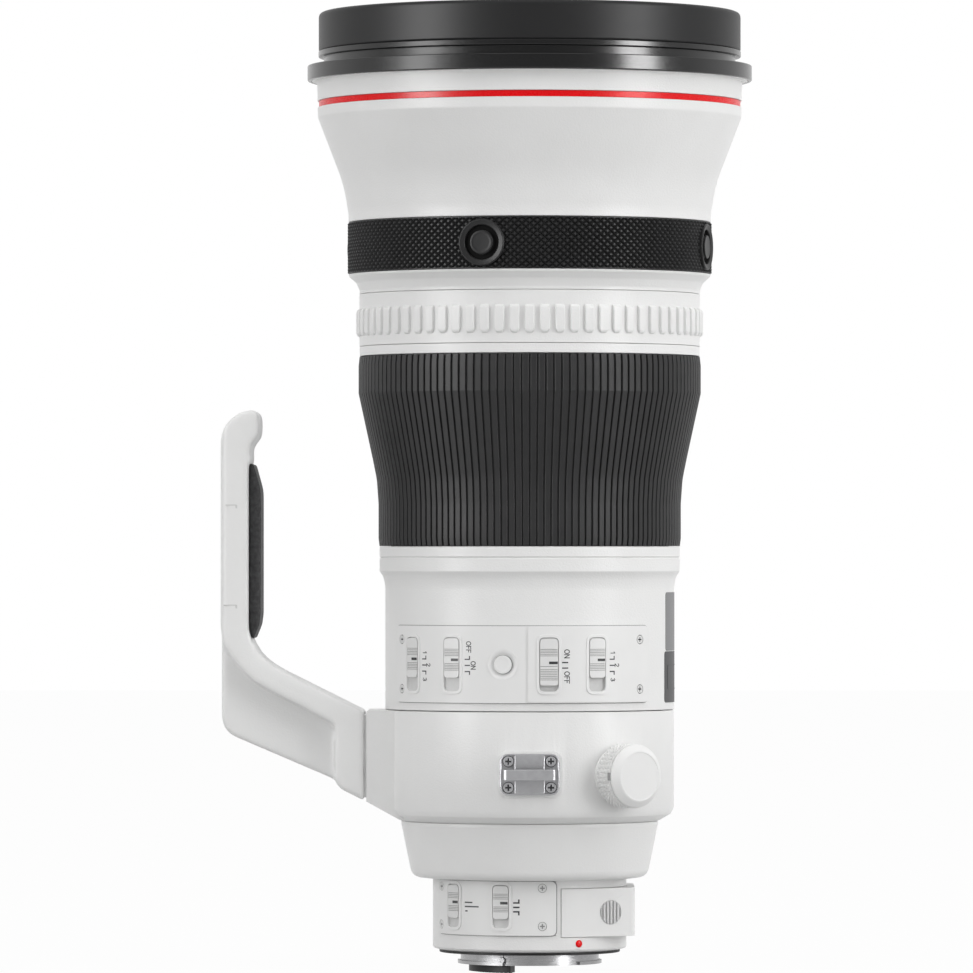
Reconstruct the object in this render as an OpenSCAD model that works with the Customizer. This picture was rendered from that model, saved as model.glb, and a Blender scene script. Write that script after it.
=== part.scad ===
// Super telephoto lens, standing on its mount end: +Z runs from the mount face to the front element.
// Azimuth 0 is the side with the switches (-Y) and azimuth 90 is the top of the lens in use (+X).

/* [Overall] */
// Length from the mount face to the front rim
lens_len = 343.3; // [330:0.1:360]
// Length of the black front rim
rim_len = 14.3; // [12:0.1:18]
// Rounding of the front rim's edge
rim_round = 3.3; // [1:0.1:4]
// Outer radius of the hood flange, the widest ring
flange_r = 81.3; // [80:0.1:84]
// How far the hood flange stands out from the white front barrel
flange_reach = 3.7; // [3:0.1:5]
// How much smaller the front rim's radius is than the front barrel's
rim_step = 0.4; // [0.2:0.1:1]
// Height of the hood flange
flange_h = 5.6; // [4.5:0.1:6.5]
// Height of the groove above the hood flange
groove_h = 3.2; // [2.5:0.1:4.5]
// Height of the lip above the groove
lip_h = 2; // [1.5:0.1:3]
// Outer radius of the narrow middle of the lens
waist_r = 66.3; // [65.4:0.1:66.9]

/* [Grip band] */
// How far the knurled grip band stands out from the waist
band_rise = 0.3; // [0:0.1:0.6]
// Height of the grip band
band_h = 19; // [18:0.1:20]
// Thickness of the grip band
band_t = 2; // [1.5:0.1:2.4]
// Outer radius of a focus-stop button's bezel
bezel_r = 8.45; // [7:0.05:9]
// Radius of a focus-stop button
stop_button_r = 4.25; // [3.6:0.05:4.6]
// Travel of a focus-stop button
stop_travel = 1; // [0.6:0.1:1.2]

/* [Rings] */
// Outer radius of the playback ring's collars
playback_r = 62.3; // [61.8:0.1:62.8]
// Length of the playback ring, with its running gaps
playback_len = 19.3; // [18:0.1:21]
// Number of ribs on the playback ring
playback_ribs = 72; // [48:1:90]
// Height of the white ring between the two turning rings
divider_h = 2.7; // [2:0.1:4]
// Outer radius of the focus ring at its front end
focus_r = 62.6; // [61.8:0.1:63.2]
// Outer radius of the focus ring at its rear end
focus_rear_r = 55.3; // [54.8:0.1:56]
// Length of the focus ring
focus_len = 69.1; // [66:0.1:72]
// Thickness of the focus ring's rubber
rubber_t = 2.2; // [1.8:0.1:2.4]
// Thickness of the focus ring's metal sleeve
sleeve_t = 2; // [1.6:0.1:2.2]

/* [Main barrel] */
// Outer radius of the main barrel
main_r = 52.8; // [52:0.1:53.4]
// Outer radius of the barrel's rim behind the focus ring
main_rim_r = 54.9; // [54.4:0.1:55.4]
// Distance from the mount face to the main barrel's rear end
main_z = 88.7; // [88:0.1:90]
// Wall of the main barrel
main_wall = 4.2; // [3.6:0.1:4.2]

/* [Tripod collar] */
// Outer radius of the collar
collar_r = 52.7; // [52.2:0.1:53.4]
// Distance from the mount face to the collar's rear end
collar_z = 48.1; // [47.8:0.1:48.6]
// Radius of the barrel that the collar turns on
journal_r = 46; // [45:0.1:46.2]
// Running clearance of the turning rings
run_gap = 0.1; // [0.05:0.01:0.1]
// Radius of the collar's lock knob
knob_r = 11.5; // [10:0.1:12.5]
// Distance from the axis to the lock knob's outer face
knob_out = 64.8; // [62:0.1:67]
// Width of a strap lug's plate
lug_w = 21.5; // [19:0.1:24]
// Height of a strap lug's plate
lug_h = 14.8; // [14:0.1:16]

/* [Foot] */
// Distance from the axis to the foot's mounting face
foot_x = 112.5; // [108:0.1:118]
// Width of the foot
foot_w = 40; // [34:0.5:46]
// Distance from the mount face to the top of the foot
foot_top_z = 197.8; // [194:0.1:204]
// Thickness of the foot's grip, from the mounting face to the pad
foot_t = 10.3; // [9:0.1:11]
// Thickness of the soft pad
pad_t = 4.4; // [4:0.1:6]
// Radius of the two large tripod threads
big_thread_r = 3.97; // [3.9:0.01:4.1]
// Radius of the small tripod thread
small_thread_r = 2.55; // [2.4:0.01:2.7]
// Depth of the tripod threads
thread_len = 7; // [6:0.1:8]

/* [Mount end] */
// Outer radius of the rear barrel at the collar
rear_r = 46.9; // [46.8:0.1:47.4]
// Outer radius of the mount barrel
mount_r = 35.4; // [34.8:0.1:35.8]
// Distance from the mount face to the rear barrel's rear face
rear_z = 27.2; // [27:0.1:28]
// Outer radius of the bayonet
bayonet_r = 25.25; // [25:0.01:25.5]
// Bore radius of the bayonet
bayonet_bore_r = 22.8; // [22.4:0.1:23]
// Length of the bayonet
bayonet_len = 4.1; // [4:0.1:4.4]
// Outer radius of the bayonet lugs
bayonet_lug_r = 26.3; // [26.1:0.1:26.8]
// Radius of the drop-in filter
filter_r = 20.25; // [19.8:0.05:20.5]
// Distance from the axis to the filter holder's outer face
holder_x = 38.2; // [37:0.1:39.5]

/* [Switches] */
// Width of a switch slot
slot_w = 6.6; // [6:0.1:7]
// Length of a slot in the main panel
slot_len = 19.4; // [18.5:0.1:20]
// Length of a three-way switch in the main panel
slider_len = 14.3; // [13.5:0.1:14.4]
// Length of the on and off switch
wide_slider_len = 17; // [16:0.1:17.2]
// Length of a slot in the rear panel
rear_slot_len = 15.6; // [15:0.1:16]
// Length of a switch in the rear panel
rear_slider_len = 12.1; // [11.5:0.1:12.2]
// Radius of the set button
set_r = 3.2; // [2.8:0.1:3.4]

/* [Optics] */
// Wall of the cell that holds the front element
cell_wall = 2; // [1.6:0.1:3]
// Radius of the focusing group's cell
focus_cell_r = 48.1; // [47.5:0.1:48.5]
// Length of the focusing group's cell
focus_cell_len = 22; // [18:0.5:24]
// Radius of the open iris
iris_r = 22; // [21:0.1:22.5]
// Radius of the circle that the iris blades pivot on
pivot_r = 30; // [29.8:0.1:30.4]
// Thickness of an iris blade
blade_t = 0.25; // [0.2:0.01:0.28]
// Travel of the stabiliser each way
shift = 1; // [0.6:0.1:1.2]

/* [Hidden] */
$fn = 96;

// One overrun for every cut, and the gap between fixed pieces that sit inside each other
cut = 1;
seat_gap = 0.1;
// Unit of a small edge break and of small gaps that only need to be clear
edge = 0.5;
free_gap = 0.3;

// Heights along the axis
z_rim = lens_len - rim_len;
z_lip = z_rim - lip_h;
z_groove = z_lip - groove_h;
z_hood = z_groove - flange_h;
red_h = 2.4;
red_drop = 7.3;
z_red = z_hood - red_drop - red_h;
cone_drop = 13.3;
z_cone_top = z_hood - cone_drop;
cone_len = 24.1;
z_cone_end = z_cone_top - cone_len;
blend_len = 11;
z_waist = z_cone_end - blend_len;
waist_len = 3.3;
z_band_top = z_waist - waist_len;
z_band = z_band_top - band_h;
z_button = z_band + band_h / 2;
cove_h = 7.2;
z_playback_top = z_band - cove_h;
z_playback = z_playback_top - playback_len;
z_divider = z_playback - divider_h;
ring_gap = 1;
z_focus_top = z_divider - ring_gap;
z_focus = z_focus_top - focus_len;
end_gap = 0.15;
z_main_top = z_focus - end_gap;

// Red of the two marks, black, white paint and other colours of the object
white = [0.86, 0.86, 0.85];
black = [0.06, 0.06, 0.065];
steel = [0.62, 0.62, 0.63];
glass_tint = [0.35, 0.45, 0.5, 0.5];

// Radii of the front end, from the hood flange inwards
front_r = flange_r - flange_reach;
nose_r = front_r + 0.2 * edge;
apron_step = 1.4;
apron_r = flange_r - apron_step;
rim_r = front_r - rim_step;
rim_wall = 4.6;
rim_bore_r = rim_r - rim_wall;
groove_depth = 1.9;
groove_r = rim_r - groove_depth;
hood_wall = 1.7;
hood_bore_r = groove_r - hood_wall;
neck_r = hood_bore_r - seat_gap;
front_glass_r = neck_r - cell_wall - seat_gap;
glass_lip = 2;
rim_lip_r = front_glass_r - glass_lip;
glass_seat_w = 3.8;
cell_bore_r = front_glass_r - glass_seat_w;

// Radii round the waist
cone_step = 1.9;
cone_end_r = waist_r + cone_step;
waist_wall = 3.4;
waist_bore_r = waist_r - waist_wall;
band_r = waist_r + band_rise;
lip_step = 0.4;
lip_r = waist_r - lip_step;
cove_step = 0.1;
cove_r = playback_r - cove_step;
barrel_wall = 2.6;
glass_seat_h = 5;
z_glass = z_rim - glass_seat_h;
glass_edge_h = 6;

module ring(r_in, r_out, z0, z1) {
    translate([0, 0, z0]) difference() {
        cylinder(h = z1 - z0, r = r_out);
        translate([0, 0, -cut]) cylinder(h = z1 - z0 + 2 * cut, r = r_in);
    }
}

module sector(r_in, r_out, z0, z1, a0, a1)
    rotate([0, 0, a0 - 90]) rotate_extrude(angle = a1 - a0)
        translate([r_in, z0]) square([r_out - r_in, z1 - z0]);

module radial(a, z, from, to, r)
    rotate([0, 0, a]) translate([0, -from, z]) rotate([90, 0, 0]) cylinder(h = to - from, r = r);

module radial_cone(a, z, from, to, r0, r1)
    rotate([0, 0, a]) translate([0, -from, z]) rotate([90, 0, 0])
        cylinder(h = to - from, r1 = r0, r2 = r1);

// A block that faces outwards at an azimuth: w wide, z0 to z1 high, from one distance to another
module block(a, w, z0, z1, from, to)
    rotate([0, 0, a]) translate([-w / 2, -to, z0]) cube([w, to - from, z1 - z0]);

function arc(cx, cz, r, a0, a1, n) =
    [for (i = [0:n]) let (a = a0 + (a1 - a0) * i / n) [cx + r * cos(a), cz + r * sin(a)]];

// Front end

rim_lip_h = 2;
glass_top = z_glass + glass_edge_h;

module front_rim() color(black) rotate_extrude() polygon(concat(
    [[rim_lip_r, glass_top], [front_glass_r + edge, glass_top], [front_glass_r + edge, z_rim],
     [rim_r - edge / 2, z_rim], [rim_r, z_rim + edge / 2]],
    arc(rim_r - rim_round, lens_len - rim_round, rim_round, 0, 90, 8),
    [[rim_bore_r + edge, lens_len], [rim_bore_r, lens_len - edge],
     [rim_bore_r - edge, glass_top + 2 * rim_lip_h], [rim_lip_r, glass_top + rim_lip_h]]));

apron_h = 1.4;

module hood_ring() color(black) difference() {
    rotate_extrude() polygon([
        [hood_bore_r, z_hood + apron_h], [apron_r + seat_gap, z_hood + apron_h],
        [apron_r + seat_gap, z_hood], [flange_r - edge, z_hood], [flange_r, z_hood + edge],
        [flange_r, z_groove - edge / 2], [flange_r - edge / 2, z_groove], [groove_r, z_groove],
        [groove_r, z_lip], [rim_r - edge, z_lip], [rim_r + seat_gap, z_lip + edge],
        [rim_r + seat_gap, z_rim], [hood_bore_r, z_rim]]);
    for (a = [0:90:270]) radial(a, z_lip - edge, groove_r - 2 * edge, groove_r + cut, edge);
}

// Front barrel: neck inside the hood ring, apron, red groove, cone, waist, band seat and rear cove
glass_ledge_h = 3;
cone_bore_r = front_r - barrel_wall;
band_in_r = band_r - band_t;
tube_gap = 0.1;
ledge_h = 1.8;
lip_t = 0.9;
cove_share = 0.72;
bend_share = 2.87;
bend_end = 159.5;
red_depth = 1.4;
red_sink = 0.5;
tube_front_r = focus_r - rubber_t - sleeve_t - free_gap;

module barrel_outline() {
    bend_r = blend_len * bend_share;
    bend = arc(waist_r + bend_r, z_waist, bend_r, 180, bend_end, 6);
    cove_round = (cove_h - lip_t) * cove_share;
    polygon(concat(
        [[neck_r, z_rim - edge], [neck_r, z_hood + apron_h], [apron_r, z_hood + apron_h],
         [apron_r, z_hood], [nose_r, z_hood], [front_r, z_red + red_h],
         [front_r - red_depth, z_red + red_h], [front_r - red_depth, z_red], [front_r, z_red],
         [front_r - edge / 2, z_cone_top], [cone_end_r, z_cone_end]],
        [for (i = [len(bend) - 2:-1:0]) bend[i]],
        [[waist_r, z_band_top + edge / 2], [waist_r - edge / 2, z_band_top],
         [band_in_r - seat_gap, z_band_top], [band_in_r - seat_gap, z_band],
         [waist_r, z_band], [lip_r, z_band - lip_t]],
        arc(cove_r + cove_round, z_band - cove_h + cove_round / 4, cove_round, 130, 180, 5),
        [[cove_r, z_playback_top], [tube_front_r + tube_gap, z_playback_top],
         [tube_front_r + tube_gap, z_band - lip_t], [tube_front_r - barrel_wall, z_band - lip_t],
         [tube_front_r - barrel_wall, z_band - lip_t + ledge_h],
         [waist_bore_r, z_band - lip_t + ledge_h], [waist_bore_r, z_waist],
         [cone_end_r - barrel_wall, z_cone_end], [cone_bore_r, z_cone_top], [cone_bore_r, z_hood - cut],
         [neck_r - barrel_wall, z_hood + cut], [neck_r - barrel_wall, z_glass - glass_ledge_h],
         [cell_bore_r, z_glass - glass_ledge_h], [cell_bore_r, z_glass],
         [front_glass_r + seat_gap, z_glass], [front_glass_r + seat_gap, z_rim - edge]]));
}

module front_barrel() color(white) difference() {
    rotate_extrude() barrel_outline();
    for (a = stop_azimuths) radial(a, z_button, waist_bore_r - 3 * cut, band_r + cut, bezel_r + seat_gap);
}

dot_azimuth = 30.2;
dot_r = 1.35;
dot_z = 4.2;
dot_in = 1;

module red_inlays() color([0.75, 0.05, 0.06]) {
    ring(front_r - red_depth + seat_gap, front_r - red_sink, z_red, z_red + red_h);
    radial(dot_azimuth, dot_z, mount_r - dot_in, mount_r + edge / 2, dot_r);
}

// Grip band and the four focus-stop buttons
stop_azimuths = [-15, 75, 165, 255];
bezel_rise = 0.6;
bezel_out = band_r + bezel_rise;
bezel_floor = 1;
dish_r = 7.4;
well_r = 5.5;
dish_depth = 0.6;
well_depth = 2;
button_sink = 0.2;
button_out = bezel_out - button_sink;
button_len = 5;
bezel_in = button_out - button_len - 2 * stop_travel - bezel_floor;

module grip_band() color(black) difference() {
    union() {
        ring(band_in_r, band_r - edge, z_band, z_band_top);
        ring(band_in_r, band_r, z_band + edge, z_band_top - edge);
    }
    for (a = stop_azimuths) radial(a, z_button, band_in_r - cut, band_r + cut, bezel_r + seat_gap);
}

module stop_bezels() color(black) for (a = stop_azimuths) difference() {
    union() {
        radial(a, z_button, bezel_in, bezel_out - edge, bezel_r);
        radial_cone(a, z_button, bezel_out - edge, bezel_out, bezel_r, bezel_r - edge);
    }
    radial_cone(a, z_button, bezel_out - dish_depth, bezel_out + dish_depth, well_r, 2 * dish_r - well_r);
    radial(a, z_button, bezel_out - well_depth, bezel_out, well_r);
    radial(a, z_button, bezel_in + bezel_floor, bezel_out, stop_button_r + 0.6 * run_gap);
}

module stop_button(i) color(black) {
    radial(stop_azimuths[i], z_button, button_out - button_len, button_out - edge, stop_button_r);
    radial_cone(stop_azimuths[i], z_button, button_out - edge, button_out, stop_button_r,
        stop_button_r - edge);
}

module stop_button_1() stop_button(0);
module stop_button_2() stop_button(1);
module stop_button_3() stop_button(2);
module stop_button_4() stop_button(3);

// Focus ring outline: straight front part, cone, blend and straight rear part
focus_front_len = 13.3;
focus_cone_len = 24;
focus_blend_len = 16.3;
z_focus_cone = z_focus_top - focus_front_len;
z_focus_blend = z_focus_cone - focus_cone_len;
z_focus_rear = z_focus_blend - focus_blend_len;
cone_foot_share = 0.29;
blend_shares = [0.3, 0.55];
focus_mid_r = focus_rear_r + (focus_r - focus_rear_r) * cone_foot_share;

// Points of the ring's outline, moved inwards by d, from its rear end to its front end
function focus_line(d) = [
    [focus_rear_r - d, z_focus_rear],
    [focus_rear_r + (focus_mid_r - focus_rear_r) * blend_shares[0] - d,
     z_focus_rear + focus_blend_len * blend_shares[1]],
    [focus_mid_r - d, z_focus_blend],
    [focus_r - d, z_focus_cone]];

module lathe_between(d_out, d_in, z0, z1) {
    outer = focus_line(d_out);
    inner = focus_line(d_in);
    rotate_extrude() polygon(concat(
        [[focus_rear_r - d_out, z0]], outer, [[focus_r - d_out, z1], [focus_r - d_in, z1]],
        [for (i = [len(inner) - 1:-1:0]) inner[i]], [[focus_rear_r - d_in, z0]]));
}

sleeve_in = rubber_t + sleeve_t;

module focus_grip() color(black)
    lathe_between(0, rubber_t, z_focus, z_focus_top);

module focus_ring() color([0.2, 0.2, 0.2])
    lathe_between(rubber_t + seat_gap, sleeve_in, z_focus + edge, z_focus_top - edge);

// Tube that the two rings turn on, with the white divider ring and the focusing group's bore
tube_in = sleeve_in + free_gap;
tube_rear_r = focus_rear_r - tube_in;
tube_seat = 10.1;
z_tube = z_main_top - tube_seat;
tube_bore_r = focus_cell_r + run_gap;
bore_end_share = 0.2;
z_bore_end = z_focus_cone - focus_cone_len * bore_end_share;
land_h = 4;

module inner_tube() color(white) {
    rotate_extrude() polygon(concat(
        [[tube_rear_r, z_tube]], focus_line(tube_in),
        [[tube_front_r, z_divider], [cove_r, z_divider], [cove_r, z_playback],
         [tube_front_r, z_playback], [tube_front_r, z_band - lip_t],
         [tube_front_r - barrel_wall, z_band - lip_t],
         [tube_front_r - barrel_wall, z_focus_cone + land_h],
         [tube_bore_r, z_bore_end], [tube_bore_r, z_tube]]));
    // Lands that the focus ring's sleeve turns on
    ring(tube_front_r - edge, focus_r - sleeve_in - run_gap,
        z_focus_top - 2 * land_h, z_focus_top - land_h);
    ring(tube_rear_r - edge, focus_rear_r - sleeve_in - run_gap, z_focus + land_h, z_focus + 2 * land_h);
}

rib_h = 1.2;
rib_z0 = 3.8;
rib_len = 11.8;
rib_slope = 2;
rib_share = 0.62;
playback_gap = 0.15;

module playback_ring() color(white) {
    z0 = z_playback + playback_gap;
    z1 = z_playback_top - playback_gap;
    rib_w = 2 * PI * (playback_r + rib_h) / playback_ribs * rib_share;
    rotate_extrude() polygon([
        [tube_front_r + run_gap, z0], [playback_r, z0], [playback_r, z1], [tube_front_r + run_gap, z1]]);
    for (i = [0:playback_ribs - 1]) rotate([0, 0, 360 * i / playback_ribs])
        translate([rib_w / 2, 0, z_playback + rib_z0]) rotate([0, -90, 0]) linear_extrude(rib_w) polygon([
            [0, -playback_r + edge], [0, -playback_r], [rib_slope, -playback_r - rib_h],
            [rib_len - rib_slope, -playback_r - rib_h], [rib_len, -playback_r],
            [rib_len, -playback_r + edge]]);
}

// Main barrel
z_rim_groove = z_main_top - 5.5 * edge;
rim_band_h = 9;
rim_cove_h = 5;
main_bore_r = main_r - main_wall;
flange_t = 3.3;
journal_wall = 2.5;
journal_bore_r = journal_r - journal_wall;
panel_lift = 0.7;
panel_depth = 1.8;
panel_out = main_r + panel_lift;
panel_in = main_r - panel_depth;
panel_z = 91.7;
panel_h = 27.7;
panel_from = -65;
panel_to = 53.5;
panel_step = -0.6;
panel_rise = 0.5;
slot_z = panel_z + panel_h / 2;
set_azimuth = -10.4;
set_travel = 0.7;
plate_half = 21;
plate_lower_half = 22.2;
plate_t = 0.7;
plate_z = 91.2;
plate_mid_z = 109.9;
plate_top_z = 131.5;
screw_head_r = 1.5;
screw_head_h = 0.9;
shank_r = 0.9;
shank_len = 2.4;
screw_play = 0.1;
screw_from_low = 4.8;
screw_from_top = 5;
screw_low = panel_z + screw_from_low;
screw_high = panel_z + panel_h - screw_from_top;
panel_screws = [[-60, screw_high], [-60, screw_low], [47.6, screw_high], [47.6, screw_low]];

module main_barrel() color(white) difference() {
    rotate_extrude() polygon(concat(
        [[main_r, main_z]],
        arc(main_rim_r, z_main_top - rim_band_h - rim_cove_h, main_rim_r - main_r, 180, 120, 3),
        [[main_rim_r - edge, z_main_top - rim_band_h - edge / 2], [main_rim_r, z_main_top - rim_band_h],
         [main_rim_r, z_rim_groove - 3 * edge], [main_rim_r - edge, z_rim_groove - 2.5 * edge],
         [main_rim_r, z_rim_groove - 2 * edge], [main_rim_r, z_main_top],
         [tube_rear_r + tube_gap, z_main_top], [tube_rear_r + tube_gap, z_tube], [main_bore_r, z_tube],
         [main_bore_r, main_z + flange_t], [journal_bore_r, main_z + flange_t],
         [journal_bore_r, main_z]]));
    sector(panel_in - seat_gap, main_r + cut, panel_z - seat_gap, panel_z + panel_h + seat_gap,
        panel_from - seat_gap, panel_to + seat_gap);
    sector(main_r - plate_t, main_r + cut, plate_mid_z, plate_top_z, 90 - plate_half, 90 + plate_half);
    sector(main_r - plate_t, main_r + cut, plate_z, plate_mid_z,
        90 - plate_lower_half, 90 + plate_lower_half);
    for (s = panel_screws) radial(s[0], s[1], main_bore_r + edge, main_r, shank_r + screw_play);
    radial(set_azimuth, slot_z, panel_in - set_travel - free_gap, main_r, set_r + edge);
}

module nameplates() color([0.6, 0.6, 0.6]) {
    sector(main_r - plate_t + seat_gap, main_r + seat_gap, plate_mid_z + seat_gap, plate_top_z - seat_gap,
        90 - plate_half + seat_gap, 90 + plate_half - seat_gap);
    sector(main_r - plate_t + seat_gap, main_r + seat_gap, plate_z + seat_gap, plate_mid_z,
        90 - plate_lower_half + seat_gap, 90 + plate_lower_half - seat_gap);
}

// Switches of the main panel: azimuth, length, whether the panel is raised there
speed = [-52.4, slider_len, 0];
preset = [-31.7, slider_len, 0];
stabiliser = [7.4, wide_slider_len, 1];
mode = [26.8, slider_len, 1];
slider_play = 0.25;
slider_floor_gap = 0.1;
slider_rise = 0.7;
slider_base_drop = 0.5;
grip_ribs = 6;
set_dish_r = 5.4;
set_dish = 0.6;
set_rise = 0.15;

module slot_cut(a, len, zc, in, out)
    block(a, slot_w, zc - len / 2, zc + len / 2, in - cut, out + 2 * cut);

module screw_hole(a, z, face, depth) {
    radial(a, z, face - screw_head_h - seat_gap, face + cut, screw_head_r + screw_play);
    radial(a, z, face - depth, face, shank_r + screw_play);
}

module switch_panel() color(white) difference() {
    sector(panel_in, panel_out + panel_rise, panel_z, panel_z + panel_h, panel_from, panel_to);
    sector(panel_out, panel_out + panel_rise + cut, panel_z - cut, panel_z + panel_h + cut,
        panel_from - cut, panel_step);
    for (s = [speed, preset, mode, stabiliser])
        slot_cut(s[0], slot_len, slot_z, panel_in, panel_out + panel_rise);
    for (i = [0:3]) screw_hole(panel_screws[i][0], panel_screws[i][1],
        panel_out + (i < 2 ? 0 : panel_rise), panel_out - panel_in + panel_rise + edge);
    radial(set_azimuth, slot_z, panel_in - cut, panel_out + cut, set_r + 0.6 * run_gap);
    radial_cone(set_azimuth, slot_z, panel_out - set_dish, panel_out + set_dish, set_r + free_gap,
        2 * set_dish_r - set_r - free_gap);
}

module set_button() color(black) {
    radial(set_azimuth, slot_z, panel_in + 2 * slider_floor_gap, panel_out + set_rise, set_r);
}

// A slider with its grip ribs, at the front end of its slot
module slider(a, len, slot, zc, floor, face) color([0.8, 0.8, 0.8]) {
    z1 = zc + slot / 2 - slider_play;
    w = slot_w - 2 * slider_play;
    pitch = len / 2 / grip_ribs;
    block(a, w, z1 - len, z1, floor + slider_floor_gap, face + slider_rise - slider_base_drop);
    for (i = [0:grip_ribs - 1])
        block(a, w, z1 - i * pitch - pitch / 2, z1 - i * pitch, face, face + slider_rise);
}

module main_slider(s)
    slider(s[0], s[1], slot_len, slot_z, panel_in, panel_out + s[2] * panel_rise);

module speed_switch() main_slider(speed);
module preset_switch() main_slider(preset);
module stabiliser_switch() main_slider(stabiliser);
module mode_switch() main_slider(mode);

// Rear panel on the mount barrel
rear_panel_lift = 0.8;
rear_panel_depth = 1.5;
rear_panel_out = mount_r + rear_panel_lift;
rear_panel_in = mount_r - rear_panel_depth;
rear_panel_z = 7.3;
rear_panel_h = 19.6;
rear_panel_from = -66.5;
rear_panel_to = 15.4;
rear_slot_z = 17.8;
range_azimuth = -49.8;
af_azimuth = -16.9;
rear_screw_from_low = 3.4;
rear_screw_from_top = 2.4;
rear_screw_low = rear_panel_z + rear_screw_from_low;
rear_screw_high = rear_panel_z + rear_panel_h - rear_screw_from_top;
rear_screws = [[7.3, rear_screw_high], [7.3, rear_screw_low], [-62.4, rear_screw_high],
    [-62.4, rear_screw_low]];

module rear_panel() color(white) difference() {
    sector(rear_panel_in, rear_panel_out, rear_panel_z, rear_panel_z + rear_panel_h,
        rear_panel_from, rear_panel_to);
    for (a = [range_azimuth, af_azimuth])
        slot_cut(a, rear_slot_len, rear_slot_z, rear_panel_in, rear_panel_out);
    for (s = rear_screws) screw_hole(s[0], s[1], rear_panel_out, rear_panel_out - rear_panel_in + edge);
}

module rear_slider(a) slider(a, rear_slider_len, rear_slot_len, rear_slot_z, rear_panel_in, rear_panel_out);
module range_switch() rear_slider(range_azimuth);
module focus_switch() rear_slider(af_azimuth);

module panel_screw(a, z, face) {
    slit = screw_head_r * 1.3;
    slit_w = screw_head_r / 4;
    difference() {
        radial(a, z, face - screw_head_h, face - seat_gap, screw_head_r);
        block(a, slit, z - slit_w / 2, z + slit_w / 2, face - screw_head_h / 2, face + cut);
        block(a, slit_w, z - slit / 2, z + slit / 2, face - screw_head_h / 2, face + cut);
    }
    radial(a, z, face - screw_head_h - shank_len, face - screw_head_h, shank_r);
}

// Screws that hold the mount: on a circle, driven from the mount face
mount_screw_circle = 27.7;
mount_screw_r = 1.6;
mount_shank_r = 1;
mount_screw_depth = 0.7;
mount_shank_len = 3;

module barrel_screws() color(steel) {
    for (i = [0:3]) panel_screw(panel_screws[i][0], panel_screws[i][1],
        panel_out + (i < 2 ? 0 : panel_rise));
    for (s = rear_screws) panel_screw(s[0], s[1], rear_panel_out);
    for (a = [45:90:315]) rotate([0, 0, a]) translate([mount_screw_circle, 0, 0]) {
        cylinder(h = mount_screw_depth, r = mount_screw_r);
        translate([0, 0, mount_screw_depth])
            cylinder(h = mount_shank_len - mount_screw_depth, r = mount_shank_r);
    }
}

// Rear barrel, which the collar turns on
shoulder_gap = 0.2;
z_shoulder = collar_z - shoulder_gap;
shoulder_h = 1.3;
taper_r = 43.9;
taper_z = 31.9;
rear_floor_h = 2.4;
rear_seat = 1.9;
rear_bore_r = mount_r - rear_seat;
tail_round = 4.3;
board_r = 40.6;

module rear_barrel() color(white) rotate_extrude() polygon(concat(
    [[journal_r, main_z], [journal_r, z_shoulder], [rear_r, z_shoulder], [rear_r, z_shoulder - shoulder_h],
     [taper_r, taper_z]],
    arc(taper_r - tail_round, rear_z + tail_round + seat_gap, tail_round, -8, -80, 5),
    [[mount_r, rear_z], [rear_bore_r, rear_z], [rear_bore_r, rear_z + rear_floor_h],
     [board_r + seat_gap, rear_z + rear_floor_h], [board_r + seat_gap, taper_z],
     [journal_bore_r, z_shoulder], [journal_bore_r, main_z]]));

board_margin = 1.2;
board_in_r = rear_bore_r + board_margin;
board_t = 1.6;
chip_w = 4.4;
chip_h = 1.4;
chip_count = 9;

module main_board() color([0.05, 0.35, 0.2]) {
    board_z = rear_z + rear_floor_h;
    ring(board_in_r, board_r, board_z, board_z + board_t);
    for (i = [0:chip_count - 1])
        block(360 * i / chip_count, chip_w, board_z + board_t - edge, board_z + board_t + chip_h,
            (board_in_r + board_r - chip_w / 2) / 2, (board_in_r + board_r + chip_w / 2) / 2);
}

// Mount barrel, gasket, bayonet and contacts
gasket_h = 0.95;
gasket_r = 33;
mount_flange_r = 30;
mount_wall = 2.6;
mount_floor_h = 2.5;
mount_round = 1.2;
mount_bore_r = mount_r - mount_wall;
throat_r = 20.8;
z_floor = gasket_h + mount_floor_h;
rear_glass_r = 22.3;
rear_glass_h = 3;
fence_t = 1.4;
holder_z = 6.65;
holder_h = 17.45;
holder_gap = 0.15;
holder_edge = 18.7;
holder_flat = 28;
holder_skin = 0.3;
holder_in_x = (mount_r + holder_skin) * sin(holder_edge);

module mount_barrel() color(white) difference() {
    union() {
        rotate_extrude() polygon([
            [throat_r, gasket_h], [mount_r - 2 * mount_round, gasket_h],
            [mount_r - mount_round / 3, gasket_h + mount_round / 2],
            [mount_r, gasket_h + mount_round], [mount_r, rear_z], [mount_bore_r, rear_z],
            [mount_bore_r, z_floor], [throat_r, z_floor]]);
        ring(rear_glass_r + seat_gap, rear_glass_r + seat_gap + fence_t, z_floor - edge,
            z_floor + rear_glass_h);
    }
    sector(rear_panel_in - seat_gap, mount_r + cut, rear_panel_z - seat_gap,
        rear_panel_z + rear_panel_h + seat_gap, rear_panel_from - seat_gap, rear_panel_to + seat_gap);
    for (s = rear_screws) radial(s[0], s[1], mount_bore_r - cut, mount_r, shank_r + screw_play);
    translate([holder_in_x - holder_gap, -mount_r - cut, holder_z - holder_gap])
        cube([mount_r, 2 * mount_r + 2 * cut, holder_h + 2 * holder_gap]);
    for (a = [45:90:315]) rotate([0, 0, a]) translate([mount_screw_circle, 0, gasket_h - cut])
        cylinder(h = mount_shank_len + cut - gasket_h + edge / 2, r = mount_shank_r + screw_play);
    radial(dot_azimuth, dot_z, mount_r - dot_in, mount_r + cut, dot_r);
}

module mount_gasket() color(black) ring(mount_flange_r + seat_gap, gasket_r, 0, gasket_h);

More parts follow.
